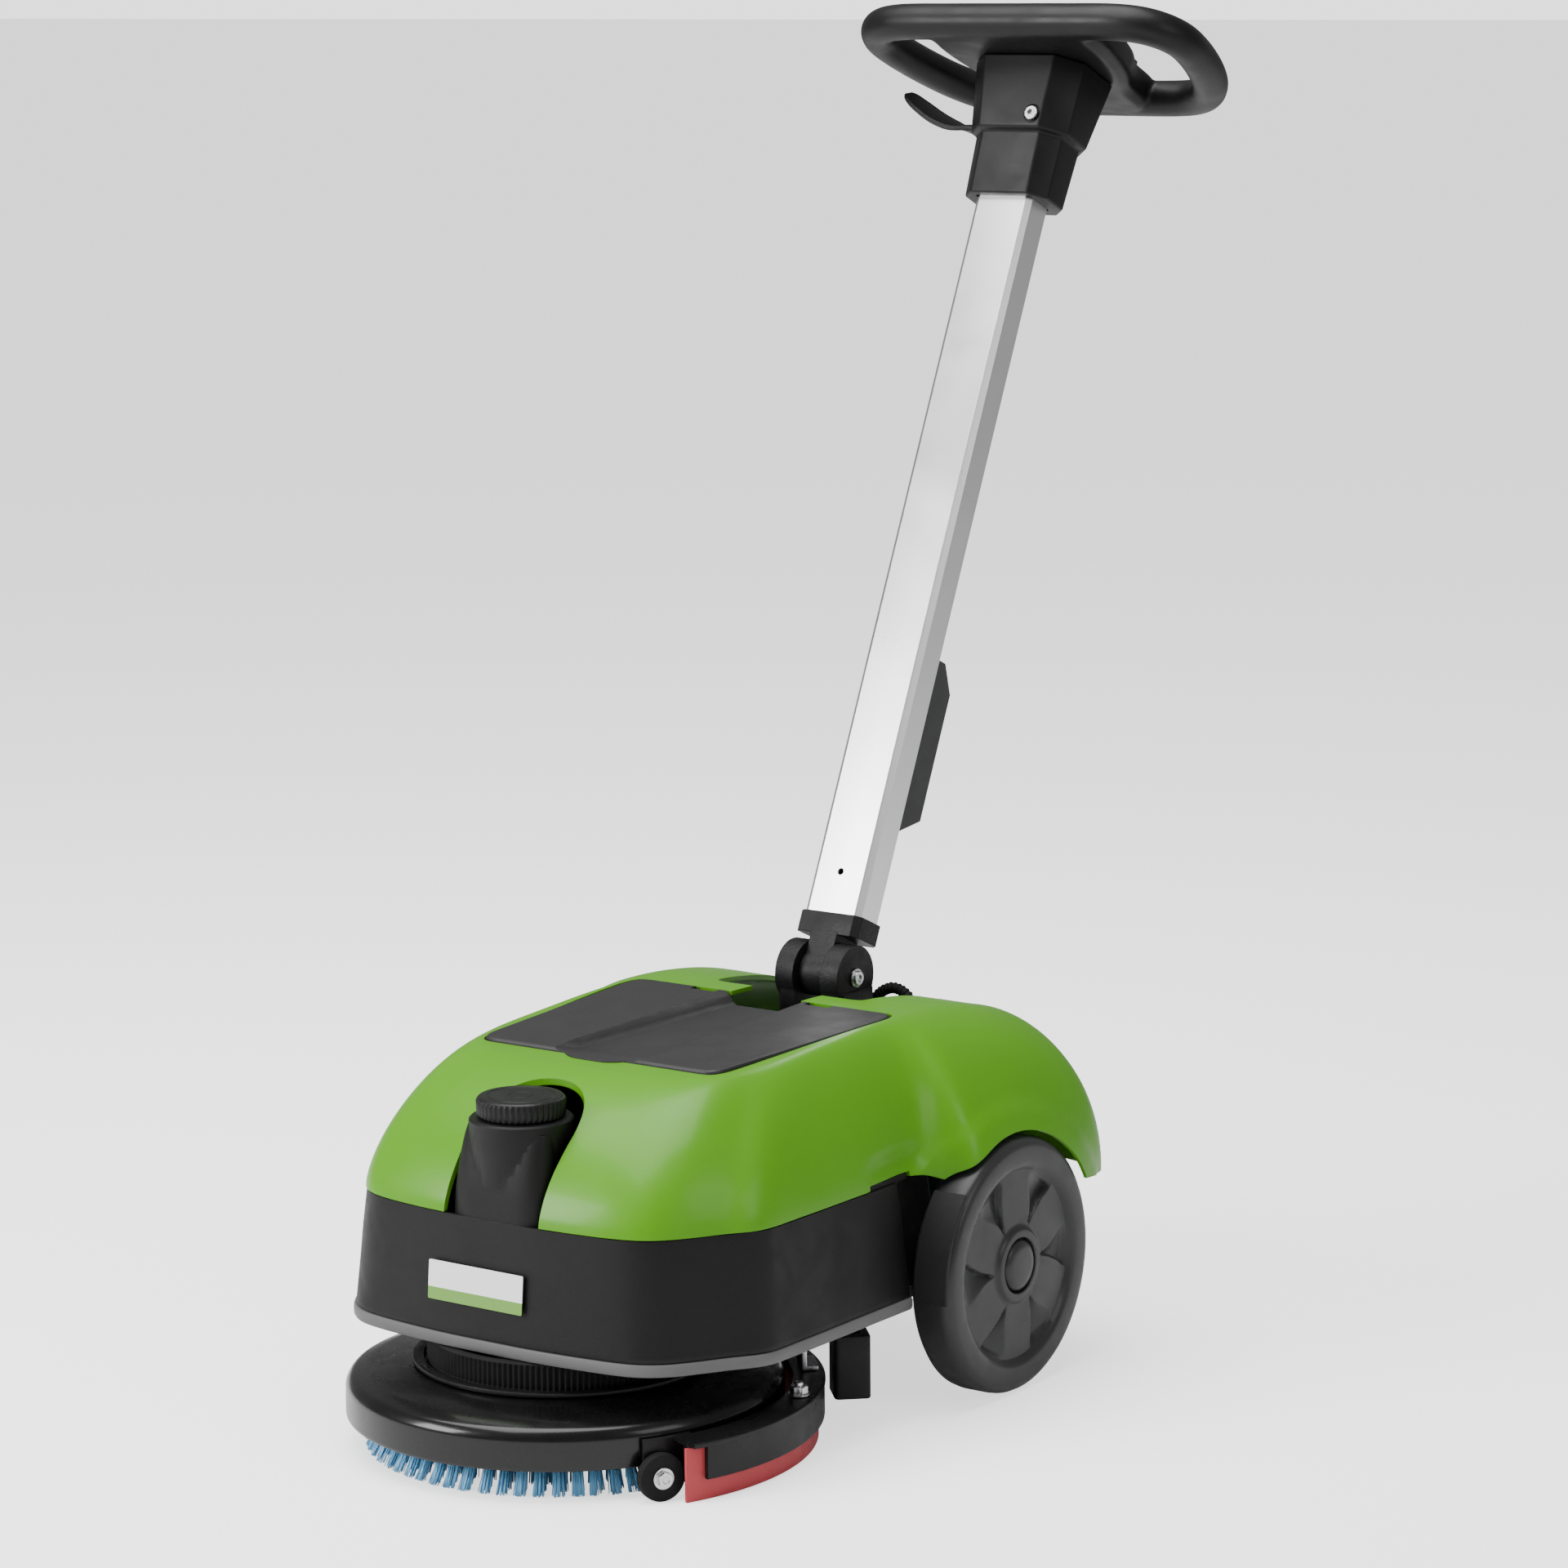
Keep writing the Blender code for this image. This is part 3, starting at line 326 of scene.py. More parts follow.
def dressed(name, colour, rough, shade=0.18, grain_scale=900.0, grain_depth=0.00006, patch=9.0,
            edge_radius=0.0008, wear=0.5, lift=1.8, metal=0.0, coat=0.0, polish=0.12, specular=0.24):
    """A moulded, cast or rolled finish: colour drift, fine grain, worn edges and uneven gloss."""
    finish = bpy.data.materials.new(name)
    finish.use_nodes = True
    tree = finish.node_tree
    shader = tree.nodes["Principled BSDF"]
    place = tree.nodes.new("ShaderNodeTexCoord").outputs["Object"]
    skin_grain = tree.nodes.new("ShaderNodeGroup")
    skin_grain.node_tree = grain
    wire(tree, place, skin_grain.inputs["Place"])
    skin_grain.inputs["Grain Scale"].default_value = grain_scale
    skin_grain.inputs["Patch Scale"].default_value = patch
    edges = tree.nodes.new("ShaderNodeGroup")
    edges.node_tree = worn
    wire(tree, place, edges.inputs["Place"])
    edges.inputs["Radius"].default_value = edge_radius
    edges.inputs["Strength"].default_value = wear * 6.0
    drift = tree.nodes.new("ShaderNodeMix")
    drift.data_type = "RGBA"
    drift.inputs["A"].default_value = (*[c * (1 - shade) for c in colour], 1.0)
    drift.inputs["B"].default_value = (*[min(1.0, c * (1 + shade)) for c in colour], 1.0)
    wire(tree, skin_grain.outputs["Shade"], drift.inputs["Factor"])
    rubbed = tree.nodes.new("ShaderNodeMix")
    rubbed.data_type = "RGBA"
    rubbed.inputs["B"].default_value = (*[min(1.0, c * lift + 0.006) for c in colour], 1.0)
    wire(tree, edges.outputs["Mask"], rubbed.inputs["Factor"])
    wire(tree, drift.outputs["Result"], rubbed.inputs["A"])
    wire(tree, rubbed.outputs["Result"], shader.inputs["Base Color"])
    gloss = tree.nodes.new("ShaderNodeMapRange")
    gloss.inputs["From Min"].default_value = 0.25
    gloss.inputs["From Max"].default_value = 0.75
    gloss.inputs["To Min"].default_value = max(0.04, rough - polish)
    gloss.inputs["To Max"].default_value = min(1.0, rough + polish)
    wire(tree, skin_grain.outputs["Polish"], gloss.inputs["Value"])
    wire(tree, gloss.outputs["Result"], shader.inputs["Roughness"])
    bump = tree.nodes.new("ShaderNodeBump")
    bump.inputs["Strength"].default_value = 1.0
    bump.inputs["Distance"].default_value = grain_depth
    wire(tree, skin_grain.outputs["Height"], bump.inputs["Height"])
    wire(tree, edges.outputs["Normal"], bump.inputs["Normal"])
    wire(tree, bump.outputs["Normal"], shader.inputs["Normal"])
    shader.inputs["Metallic"].default_value = metal
    shader.inputs["Specular IOR Level"].default_value = specular
    shader.inputs["Coat Weight"].default_value = coat
    shader.inputs["Coat Roughness"].default_value = 0.12
    return finish


def wearing(names, finish):
    """Gives CAD nodes that keep their own shape a finish and smooth shading."""
    for name in names:
        mesh = cad[name].data
        mesh.materials.clear()
        mesh.materials.append(finish)
        for face in mesh.polygons:
            face.use_smooth = True
        weld = cad[name].modifiers.new("one_skin", "WELD")
        weld.merge_threshold = 0.000005
        bevel = cad[name].modifiers.new("eased_edges", "BEVEL")
        bevel.width = 0.0007
        bevel.segments = 2
        bevel.limit_method = "ANGLE"
        bevel.angle_limit = radians(40.0)
        bevel.use_clamp_overlap = True
        even = cad[name].modifiers.new("even_normals", "WEIGHTED_NORMAL")
        even.keep_sharp = False


def body_plan(inset, back, fine=6):
    """Outline of the body, drawn in by `inset`, narrowed between the wheels, closed at `back`."""
    half = [(max(x - inset * min(1.0, x / 90.0), 0.0), y + inset * (1.0 if y < -4 else 0.0))
            for x, y in nose_line]
    half[-1] = (half[-1][0], 166 - inset)
    half = curved(half, fine)
    tail = [(half[-1][0], 166 - inset), (164 - inset, 166 - inset), (164 - inset, back - inset - 12),
            (150 - inset, back - inset), (0, back - inset)]
    half = half[:-1] + rounded([half[-2]] + tail, 3.0, 2, closed=False)[1:]
    return half + [(-x, y) for x, y in half if x > 0.01][::-1]


grey_rim_finish = dressed("grey_rim_plastic", GREY_RIM, 0.5, shade=0.08, grain_depth=0.00005, wear=0.35)
plate_rings = [(-2.0, plate_bottom), (-0.6, plate_bottom + 0.4), (0.0, plate_bottom + 2.0),
               (0.0, plate_top - 2.0), (-0.6, plate_top - 0.4), (-2.0, plate_top)]
plate = skin("edge_plate", [[at(x, y, z) for x, y in body_plan(-inset, 384)] for inset, z in plate_rings],
             grey_rim_finish)


def spun(name, profile, finish, steps=96, centre=(0.0, 0.0, 0.0), axis="Z", shape=None, crisp=35.0,
         open_ends=False):
    """A (radius, height) profile turned about an axis; `shape` may push each point in or out."""
    lay = {"Z": lambda r, h, a: (r * cos(a), r * sin(a), h), "X": lambda r, h, a: (h, r * cos(a), r * sin(a)),
           "Y": lambda r, h, a: (r * sin(a), h, r * cos(a))}[axis]
    points, faces, rows = [], [], []
    for r, h in profile:
        if r < 1e-6:
            rows.append([len(points)] * steps)
            points.append(lay(0.0, h, 0.0))
            continue
        rows.append(list(range(len(points), len(points) + steps)))
        for i in range(steps):
            a = 2 * pi * i / steps
            points.append(lay(*(shape(r, h, a) if shape else (r, h)), a))
    pairs = list(zip(rows, rows[1:]))
    if profile[0][0] > 1e-6 and not open_ends:
        pairs.append((rows[-1], rows[0]))
    for one, two in pairs:
        for i in range(steps):
            j = (i + 1) % steps
            face = [one[i], one[j], two[j], two[i]]
            faces.append([v for n, v in enumerate(face) if v not in face[:n]])
    shifted = [at(*(np.array(p) + np.array(centre))) for p in points]
    return made(name, shifted, faces, finish, crisp)


cut(plate, spun("well_tool", [(0, 60), (64, 60), (64, 100), (0, 100)], None, centre=(0, 0, 0)))
cut(plate, spun("axle_tool", [(0, -190), (8.4, -190), (8.4, 190), (0, 190)], None, 32,
           (0, axle_y, axle_z), "X"))
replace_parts(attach(plate, "chassis"), "chassis_plate")

# ---- lower tank ----
# The black tub that holds the clean water, rotation moulded with a fine pebbled skin. The filler
# neck is moulded on its nose, with a tapering web below it that stands proud of the tub.
TANK_BLACK = (0.0052, 0.005, 0.005)
tank_top, tank_foot = 171.5, 89.35
filler_spot = (0, -44, 0)
tank_finish = dressed("tank_black_plastic", TANK_BLACK, 0.5, shade=0.12, grain_scale=1100.0,
                      grain_depth=0.00009, wear=0.4, polish=0.08)
walls = [(1.5, tank_foot), (1.2, tank_foot + 1.0), (1.6, tank_foot + 4.0), (3.6, 118.0), (5.6, 145.0),
         (8.0, tank_top), (11.0, tank_top), (5.0, tank_foot + 3.0)]
tank = skin("clean_water_tank", [[at(x, y, z) for x, y in body_plan(i, 240)] for i, z in walls], tank_finish)
neck_side = [(0, 168.6), (32.5, 168.6), (33.4, 180), (34.2, 195), (35.0, 214), (35.8, 229),
             (36.0, 232), (36.0, 236.6), (34.6, 238), (0, 238)]
neck = spun("neck_tool", neck_side, None, 64, filler_spot)
web_keys = [(39.4, 22, -79.3, 166), (39.2, 23, -79.0, 176), (38.8, 24, -78.4, 188), (37.8, 24, -76.6, 200),
            (36.6, 23, -74.0, 212), (35.0, 21, -70.5, 224), (34.0, 20, -67.0, 231.5)]
web = skin("web_tool", [[at(x, y, z) for x, y in rounded([(-w, f), (w, f), (w, -46), (-w, -46)], ease_by, 8)]
                        for w, ease_by, f, z in curved(web_keys, 5)], None)
cut(neck, web, "UNION", 50.0)
cut(tank, neck, "UNION", 50.0)
cut(tank, spun("bore_tool", [(0, 140), (27, 140), (27, 260), (0, 260)], None, 48, filler_spot))
cut(tank, spun("well_tool", [(0, 60), (64.5, 60), (64.5, 120), (0, 120)], None, 64))
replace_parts(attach(tank, "chassis"), "lower_tank")

# ---- rear housing, hinge tray and recovery tank ----
# Plain black walls between the wheels, the green tray round the foot of the mast, and the tub
# under the lid that takes the dirty water. All are moulded and screwed down inside the cover.
COVER_GREEN = (0.085, 0.285, 0.006)
green_finish = dressed("cover_green_plastic", COVER_GREEN, 0.36, shade=0.1, grain_scale=700.0,
                       grain_depth=0.000035, patch=5.0, wear=0.25, lift=1.5, coat=0.08, polish=0.07)
wearing(["rear_housing", "recovery_tank"], tank_finish)
wearing(["bay_tray"], green_finish)

# ---- cover ----
# The green shell over the whole body: one vacuum-smooth moulding with a domed back, flared arches
# over the wheels, a hand hold low on each flank, and openings for the lid, filler and mast.
cover_foot, cover_skin = 172.2, 3.2
foot_line = [(0, -80, 172.2), (36, -79.6, 172.2), (70, -77, 172.2), (98, -72.5, 172.2),
             (117, -66, 172.2), (130, -56, 172.2), (141, -42, 172.2), (154, -21, 172.2),
             (169, 3, 172.2), (171.5, 50, 172.2), (172.5, 120, 172.2), (174, 180, 172.2),
             (186, 201, 166), (205, 214, 160), (210, 240, 155), (211, 300, 145), (210, 350, 139),
             (200, 388, 136), (165, 402, 136), (110, 404.5, 136), (50, 405, 136), (0, 405, 136)]
crest_line = [(0, 22, 261), (26, 22, 261), (52, 23, 261), (74, 26, 261.5), (90, 32, 262),
              (100, 40, 262.5), (107, 52, 263), (112, 72, 263.5), (115, 100, 264.5), (117, 140, 266),
              (118, 180, 267.5), (118, 210, 268.2), (118, 228, 268.4), (118, 250, 268.4),
              (117, 285, 267), (116, 318, 263), (114, 340, 259), (106, 356, 255), (88, 366, 252),
              (60, 371, 251), (30, 373, 251), (0, 373, 251)]
arch_radius = 97.0


def ease(value, low, high):
    """0 below low, 1 above high, and a smooth step between."""
    t = min(1.0, max(0.0, (value - low) / (high - low)))
    return t * t * (3 - 2 * t)


def body_line(inset, levels, fine):
    """Rings of the domed shell from its foot to its crest, the whole drawn in by `inset`."""
    foot = np.array(curved(foot_line, fine))
    crest = np.array(curved(crest_line, fine))
    # How square the shoulder of the dome is, from the nose back to the tail.
    bulge = np.interp(foot[:, 1], [-80, 60, 190, 300], [1.5, 1.45, 1.6, 1.95])
    rings = []
    for k in range(levels):
        rise = sin(pi / 2 * k / (levels - 1))
        draw = 1 - (1 - rise ** bulge) ** (1 / bulge)
        flat = foot[:, :2] + (crest[:, :2] - foot[:, :2]) * draw[:, None]
        high = foot[:, 2] + (crest[:, 2] - foot[:, 2]) * rise - inset
        middle = np.array([0.0, 165.0])
        reach = np.linalg.norm(flat - middle, axis=1)
        flat = middle + (flat - middle) * ((reach - inset) / reach)[:, None]
        flat[0, 0] = flat[-1, 0] = 0.0
        half = []
        for (x, y), z in zip(flat, high):
            # The flank is pressed in round the wheel arch and at the hand hold.
            if x > 140:
                away = hypot(y - axle_y, z - axle_z)
                flare = ease(away, 113, 117.5) * (1 - ease(away, 119, 165))
                hold = (ease(y, 124, 130) * (1 - ease(y, 186, 194)) * ease(z, 178, 181)
                        * (1 - ease(z, 190, 195)))
                x -= 2.6 * flare * ease(x, 140, 165) + 1.8 * hold
            half.append((x, y, z))
        rings.append(half + [(-x, y, z) for x, y, z in half[1:-1]][::-1])
    return rings


def domed(name, rings, finish, crisp=35.0):
    """A closed skin over mirrored rings, its foot and crest closed with strips from side to side."""
    count = len(rings[0])
    half = count // 2 + 1
    faces = []
    for k in range(len(rings) - 1):
        for i in range(count):
            j = (i + 1) % count
            faces.append((k * count + i, k * count + j, (k + 1) * count + j, (k + 1) * count + i))
    for k in (0, len(rings) - 1):
        for i in range(half - 1):
            strip = [i, i + 1, (count - i - 1) % count, (count - i) % count]
            faces.append(tuple(k * count + v for n, v in enumerate(strip) if v not in strip[:n]))
    return made(name, [at(*p) for ring in rings for p in ring], faces, finish, crisp)


def bar(name, low, high, corner, finish=None, steps=4):
    """A bar between two corners with its upright edges rounded by `corner`."""
    outline = [(low[0], low[1]), (high[0], low[1]), (high[0], high[1]), (low[0], high[1])]
    if corner > 0:
        outline = rounded(outline, corner, steps)
    return skin(name, stacked(outline, (low[2], high[2])), finish)


cover = domed("body_cover", body_line(0, 34, 6), green_finish)
inner = body_line(cover_skin, 26, 4)
inner = [[(p[0], p[1], 100.0) for p in inner[0]]] + inner
cut(cover, domed("hollow_tool", inner, None))
for side in (1, -1):
    low, high = sorted((side * 150, side * 230))
    cut(cover, spun("arch_tool", [(0, low), (arch_radius, low), (arch_radius, high), (0, high)], None,
                    128, (0, axle_y, axle_z), "X"))
    low, high = sorted((side * 120, side * 230))
    cut(cover, bar("step_tool", (low, 125, 150), (high, 176, 176), 2.0))
lid_hole = rounded([(-98, 38), (98, 38), (105, 47), (117.2, 229), (113, 244), (-113, 244), (-117.2, 229),
                    (-105, 47)], 9.0)
cut(cover, skin("lid_tool", stacked(lid_hole, (240, 300)), None))
cut(cover, bar("bay_tool", (-66, 270, 215), (66, 430, 300), 9.0))
cut(cover, bar("fold_tool", (-31, 236, 255), (31, 276, 300), 4.0))
neck_gap = [(0, 300), (46, 300), (44, 262), (42.5, 236), (41.5, 214), (41, 200), (41, 100), (0, 100)]
cut(cover, spun("neck_gap_tool", neck_gap, None, 96, filler_spot))
slot_half = curved([(41.0, 150), (41.0, 172), (41.0, 200), (41.5, 214), (42.5, 236)], 3)
cut(cover, skin("neck_slot_tool", [[at(x, y, z) for x, y in ((-w, -120), (w, -120), (w, -46), (-w, -46))]
                                   for w, z in slot_half], None), crisp=30.0)
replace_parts(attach(cover, "chassis"), "tank_cover")

# The tank wall stands up a little behind the step in the cover's foot, in front of each wheel.
wall_line = [(171.0, 125.6), (171.2, 150.0), (171.4, 171.0), (168.0, 171.0), (168.0, 125.6)]
for side, label in ((1, "right"), (-1, "left")):
    wall = skin("tank_wall_step_" + label,
                stacked([(side * x, y) for x, y in wall_line], (171.6, 175.6)), tank_finish)
    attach(wall, "chassis")

# ---- lid and its seal ----
# A thick black moulding over the recovery tank, with a finer leather grain, a trough down the
# middle for the folded mast, a finger lip at the front and two notches at the hinge.
LID_BLACK = (0.014, 0.0137, 0.0137)
lid_finish = dressed("lid_black_plastic", LID_BLACK, 0.52, shade=0.12, grain_scale=1300.0,
                     grain_depth=0.00012, wear=0.5, polish=0.07, specular=0.45)
lid_line = rounded([(-98, 39), (98, 39), (104.3, 48), (116.3, 228), (112, 243), (-112, 243), (-116.3, 228),
                    (-104.3, 48)], 11.0, 6)
lid_levels = [(2.4, 257.4), (1.2, 258.0), (0.6, 259.2), (0.4, 261.0), (0.3, 264.6), (0.7, 265.9),
              (1.6, 266.8), (3.2, 267.1)]


def lid_ring(inset, z):
    """The lid's outline drawn in by `inset`; the top falls gently towards the front."""
    ring = []
    for x, y in lid_line:
        reach = max(hypot(x, y - 141), 1e-6)
        x, y = x * (1 - inset / reach), 141 + (y - 141) * (1 - inset / reach)
        ring.append(at(x, y, z + (y - 141) * 0.02 * ease(z, 260, 266)))
    return ring


lid = skin("tank_lid_top", [lid_ring(i, z) for i, z in lid_levels], lid_finish)
cut(lid, bar("pad_tool", (-36, 52, 253), (36, 234, 260), 3.0), "UNION")
lip_line = rounded([(-30, 46), (-27, 38), (-15, 30.5), (15, 30.5), (27, 38), (30, 46)], 7.0, 5)
cut(lid, skin("lip_tool", stacked(lip_line, (261.4, 262.2, 263.4)), None), "UNION")
trough_half = [(29, 258.8), (32, 260.2), (34, 262.6), (36, 265.6), (38.5, 267.5), (41, 269.5), (42, 300)]
trough = [(-x, z) for x, z in trough_half[::-1]] + trough_half
trough_rings = []
for y in (20, 40, 44, 48, 52, 56, 60, 66, 72, 100, 150, 200, 262):
    spread, lift_off = 1 + (140 - y) * 0.0012, 4.2 * (1 - ease(y, 40, 72))
    trough_rings.append([at(x * spread, y, z + lift_off) for x, z in trough])
cut(lid, skin("trough_tool", trough_rings, None))
for x0, x1 in ((40, 62), (-62, -40)):
    cut(lid, bar("notch_tool", (x0, 234, 200), (x1, 260, 300), 2.0))
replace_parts(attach(lid, "lid"), "tank_lid")
rubber_finish = dressed("black_rubber", (0.006, 0.006, 0.006), 0.72, shade=0.2, grain_scale=600.0,
                        grain_depth=0.0001, wear=0.3, lift=2.2)
wearing(["lid_seal"], rubber_finish)

# ---- filler cap ----
# A black screw cap with fine grip ribs round its side and two shallow rings turned in its top.
cap_side = [(0, 229.5), (26.0, 229.5), (26.3, 230), (26.3, 238.3), (29.2, 238.4), (29.9, 239.2),
            (30.2, 240.2), (30.4, 249.6), (30.0, 251.2), (28.8, 252.2), (27.4, 252.5), (24.0, 252.5),
            (23.6, 252.1), (22.6, 252.1), (22.2, 252.5), (9.0, 252.5), (8.6, 252.2), (7.8, 252.2),
            (7.4, 252.5), (0, 252.5)]


def cap_ribs(r, h, a):
    """Forty-five ribs on the cap's side, fading out at its top and bottom edge."""
    side = ease(h, 239.4, 240.6) * (1 - ease(h, 249.4, 250.8)) * ease(r, 29.6, 30.1)
    return r + 0.65 * side * cos(45 * a), h


cap_finish = dressed("cap_black_plastic", (0.007, 0.007, 0.007), 0.4, wear=0.6, grain_depth=0.00006)
cap = spun("filler_screw_cap", cap_side, cap_finish, 360, filler_spot, shape=cap_ribs)
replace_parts(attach(cap, "cap"), "filler_cap")

# ---- front label ----
# A thin printed film on the nose, white over a green foot, with nothing written on it.
label_finish = dressed("label_film", (0.95, 0.95, 0.94), 0.32, shade=0.03, grain_depth=0.00001, wear=0.0,
                       edge_radius=0.0003)
tree = label_finish.node_tree
parts_of = tree.nodes.new("ShaderNodeSeparateXYZ")
wire(tree, tree.nodes["Texture Coordinate"].outputs["Object"], parts_of.inputs[0])
foot_top = 0.1205                   # metres above the floor, where the green foot of the film ends
foot_band = maths(tree, "LESS_THAN", parts_of.outputs["Z"], foot_top)
two_tone = tree.nodes.new("ShaderNodeMix")
two_tone.data_type = "RGBA"
two_tone.inputs["B"].default_value = (0.17, 0.36, 0.07, 1.0)
was = tree.nodes["Principled BSDF"].inputs["Base Color"].links[0].from_socket
wire(tree, foot_band, two_tone.inputs["Factor"])
wire(tree, was, two_tone.inputs["A"])
wire(tree, two_tone.outputs["Result"], tree.nodes["Principled BSDF"].inputs["Base Color"])
film_line = rounded([(-50, 112), (32, 112), (32, 139), (-50, 139)], 1.2, 3)


def on_nose(x, z, out):
    """A point on the nose of the tank, `out` in front of the label's back."""
    lean = (z - 112) / 27.0
    bow = -86.9 + 2.3 * lean + 0.5 * ((x - 32) / 82.0) ** 2
    return at(x, bow - out, z)


label = skin("nose_label", [[on_nose(x, z, out) for x, z in film_line] for out in (0.5, 1.1)], label_finish)
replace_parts(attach(label, "chassis"), "front_label")

# ---- deck and collar ----
# The round glossy black shroud over the brush, spun with a rolled skirt, and the soft finned
# collar that closes the gap between it and the chassis plate.
deck_finish = dressed("deck_gloss_black", (0.0032, 0.0032, 0.0034), 0.27, shade=0.15, grain_scale=500.0,
                      grain_depth=0.00004, wear=0.35, coat=0.3, polish=0.06)
skirt = rounded([(40, 46), (134, 40), (149.6, 34), (149.6, 22), (153, 22), (152.6, 44.6), (148.4, 50.4),
                 (138, 53.2), (104, 58), (40, 58)], 3.0, 5)
deck = spun("deck_shroud_top", skirt, deck_finish, 180)
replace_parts(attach(deck, "chassis"), "deck_shroud")


def collar_fins(r, h, a):
    """Upright fins all round the collar, with a plain bead at the top and the foot."""
    fin = ease(h, 60.2, 61.2) * (1 - ease(h, 77.4, 78.4)) * ease(r, 93, 95)
    return r - 1.6 * fin * (0.5 + 0.5 * cos(150 * a)), h


fin_side = [(96, 61.2 + 1.0 * k) for k in range(17)]
collar_line = ([(90, 58.5), (95.4, 58.5), (96, 59.0), (96, 60.0)] + fin_side
               + [(96, 78.6), (95.4, 79.5), (90, 79.5)])
collar = spun("finned_collar", collar_line, rubber_finish, 900, shape=collar_fins, crisp=60.0)
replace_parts(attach(collar, "chassis"), "deck_collar")

# ---- brush ----
# A black hub plate with three rings of light blue nylon tufts, each a bundle of tapering
# bristles that lean outwards and splay a little at the floor.
plastic_finish = dressed("hub_black_plastic", (0.008, 0.008, 0.008), 0.45)
wearing(["brush_hub"], plastic_finish)
bristle_finish = dressed("blue_nylon_bristle", (0.24, 0.6, 1.0), 0.42, shade=0.16, grain_scale=260.0,
                         grain_depth=0.00002, patch=70.0, wear=0.0, edge_radius=0.0001)
brush_reach, tuft_radius = 139.4, 3.1
scatter = np.random.default_rng(41)
tuft_points, tuft_faces = [], []
for ring_root, ring_tip, tufts, per_tuft in ((128.0, 137.2, 66, 34), (118.5, 126.0, 60, 20),
                                             (108.0, 110.0, 50, 14)):
    for t in range(tufts):
        tuft_angle = 2 * pi * t / tufts + scatter.normal(0, 0.004)
        tuft_lean = scatter.normal(0, 0.35)
        for b in range(per_tuft):
            around, out = 2 * pi * scatter.random(), tuft_radius * scatter.random() ** 0.5
            side, deep = out * cos(around), out * sin(around)
            splay = 1.35 + 0.15 * scatter.random()
            spot = []
            tip_height = 0.3 + 0.7 * scatter.random()
            for share, height, thick in ((0.0, 19.4, 0.5), (0.5, 10.0, 0.5), (1.0, tip_height, 0.4)):
                r = ring_root + (ring_tip - ring_root) * share ** 1.3 + deep * (1 + (splay - 1) * share)
                r = min(r + tuft_lean * share * 0.4, brush_reach)
                s = side * (1 + (splay - 1) * share) + tuft_lean * share
                spot.append((r, s, height, thick))
            first = len(tuft_points)
            for r, s, h, thick in spot:
                for k in range(3):
                    a = 2 * pi * k / 3 + around
                    rr, ss = r + thick * cos(a), s + thick * sin(a)
                    tuft_points.append(at(rr * cos(tuft_angle) - ss * sin(tuft_angle),
                                          rr * sin(tuft_angle) + ss * cos(tuft_angle), h))
            for ring_no in range(2):
                for k in range(3):
                    a, b2 = first + 3 * ring_no + k, first + 3 * ring_no + (k + 1) % 3
                    tuft_faces.append((a, b2, b2 + 3, a + 3))
            tuft_faces.append((first, first + 1, first + 2))
            tuft_faces.append((first + 6, first + 7, first + 8))
tufts = made("bristle_tufts", tuft_points, tuft_faces, bristle_finish, 180.0)
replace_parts(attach(tufts, "brush"), "brush_bristles")

# ---- squeegee ----
# A curved satin black holder that swings round the deck on a zinc ring and arm, with two red
# rubber blades clamped in it by studs and nuts, a cast suction port and a guide roller at each end.
sweep_start, sweep_end = -24.0, 110.0
sweep_middle = (sweep_start + sweep_end) / 2
satin_finish = dressed("satin_black_holder", (0.006, 0.006, 0.0065), 0.33, wear=0.8, grain_depth=0.00005)
red_finish = dressed("red_blade_rubber", (0.47, 0.06, 0.07), 0.5, shade=0.14, grain_scale=500.0,
                     grain_depth=0.00006, patch=30.0, wear=0.2, lift=1.3)
zinc_finish = dressed("zinc_plate", (0.5, 0.5, 0.52), 0.36, shade=0.1, grain_scale=400.0, metal=1.0,
                      grain_depth=0.00003, patch=40.0, wear=0.3, lift=1.3)
cast_finish = dressed("cast_black_paint", (0.007, 0.007, 0.0075), 0.5, shade=0.2, grain_scale=420.0,
                      grain_depth=0.00035, wear=0.6, lift=2.4)


def banded(name, section, a0, a1, finish, steps=96, crisp=35.0):
    """A (radius, height) section swept round the brush axis from angle a0 to a1, in degrees."""
    rings = []
    for k in range(steps + 1):
        a = radians(a0 + (a1 - a0) * k / steps)
        rings.append([at(r * cos(a), r * sin(a), z) for r, z in section])
    return skin(name, rings, finish, crisp)


holder_section = rounded([(165, 12), (172.4, 12), (172.4, 38), (181, 38), (181, 41.8), (158, 41.8), (158, 38),
                          (165, 38)], 1.0, 3)
holder = banded("squeegee_channel", holder_section, sweep_start + 0.2, sweep_end - 0.2, satin_finish)
clamp = rounded([(176.4, 15), (180.4, 15), (180.4, 40), (176.4, 40)], 1.0, 3)
cut(holder, banded("clamp_tool", clamp, sweep_start + 3.5, sweep_end - 3.5, None), "UNION")
for edge_angle, way in ((sweep_start, -1), (sweep_end, 1)):
    low, high = sorted((edge_angle + way * 9.0, edge_angle - way * 4.0))
    lug = rounded([(154.3, 9), (157.5, 9), (157.5, 42), (154.3, 42)], 1.0, 3)
    cut(holder, banded("lug_tool", lug, low, high, None, 16), "UNION")
    low, high = sorted((edge_angle + way * 0.5, edge_angle - way * 4.0))
    tie = [(155.1, 38.1), (174.9, 38.1), (174.9, 41.9), (155.1, 41.9)]
    cut(holder, banded("tie_tool", tie, low, high, None, 6), "UNION")
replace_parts(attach(holder, "squeegee"), "squeegee_holder")
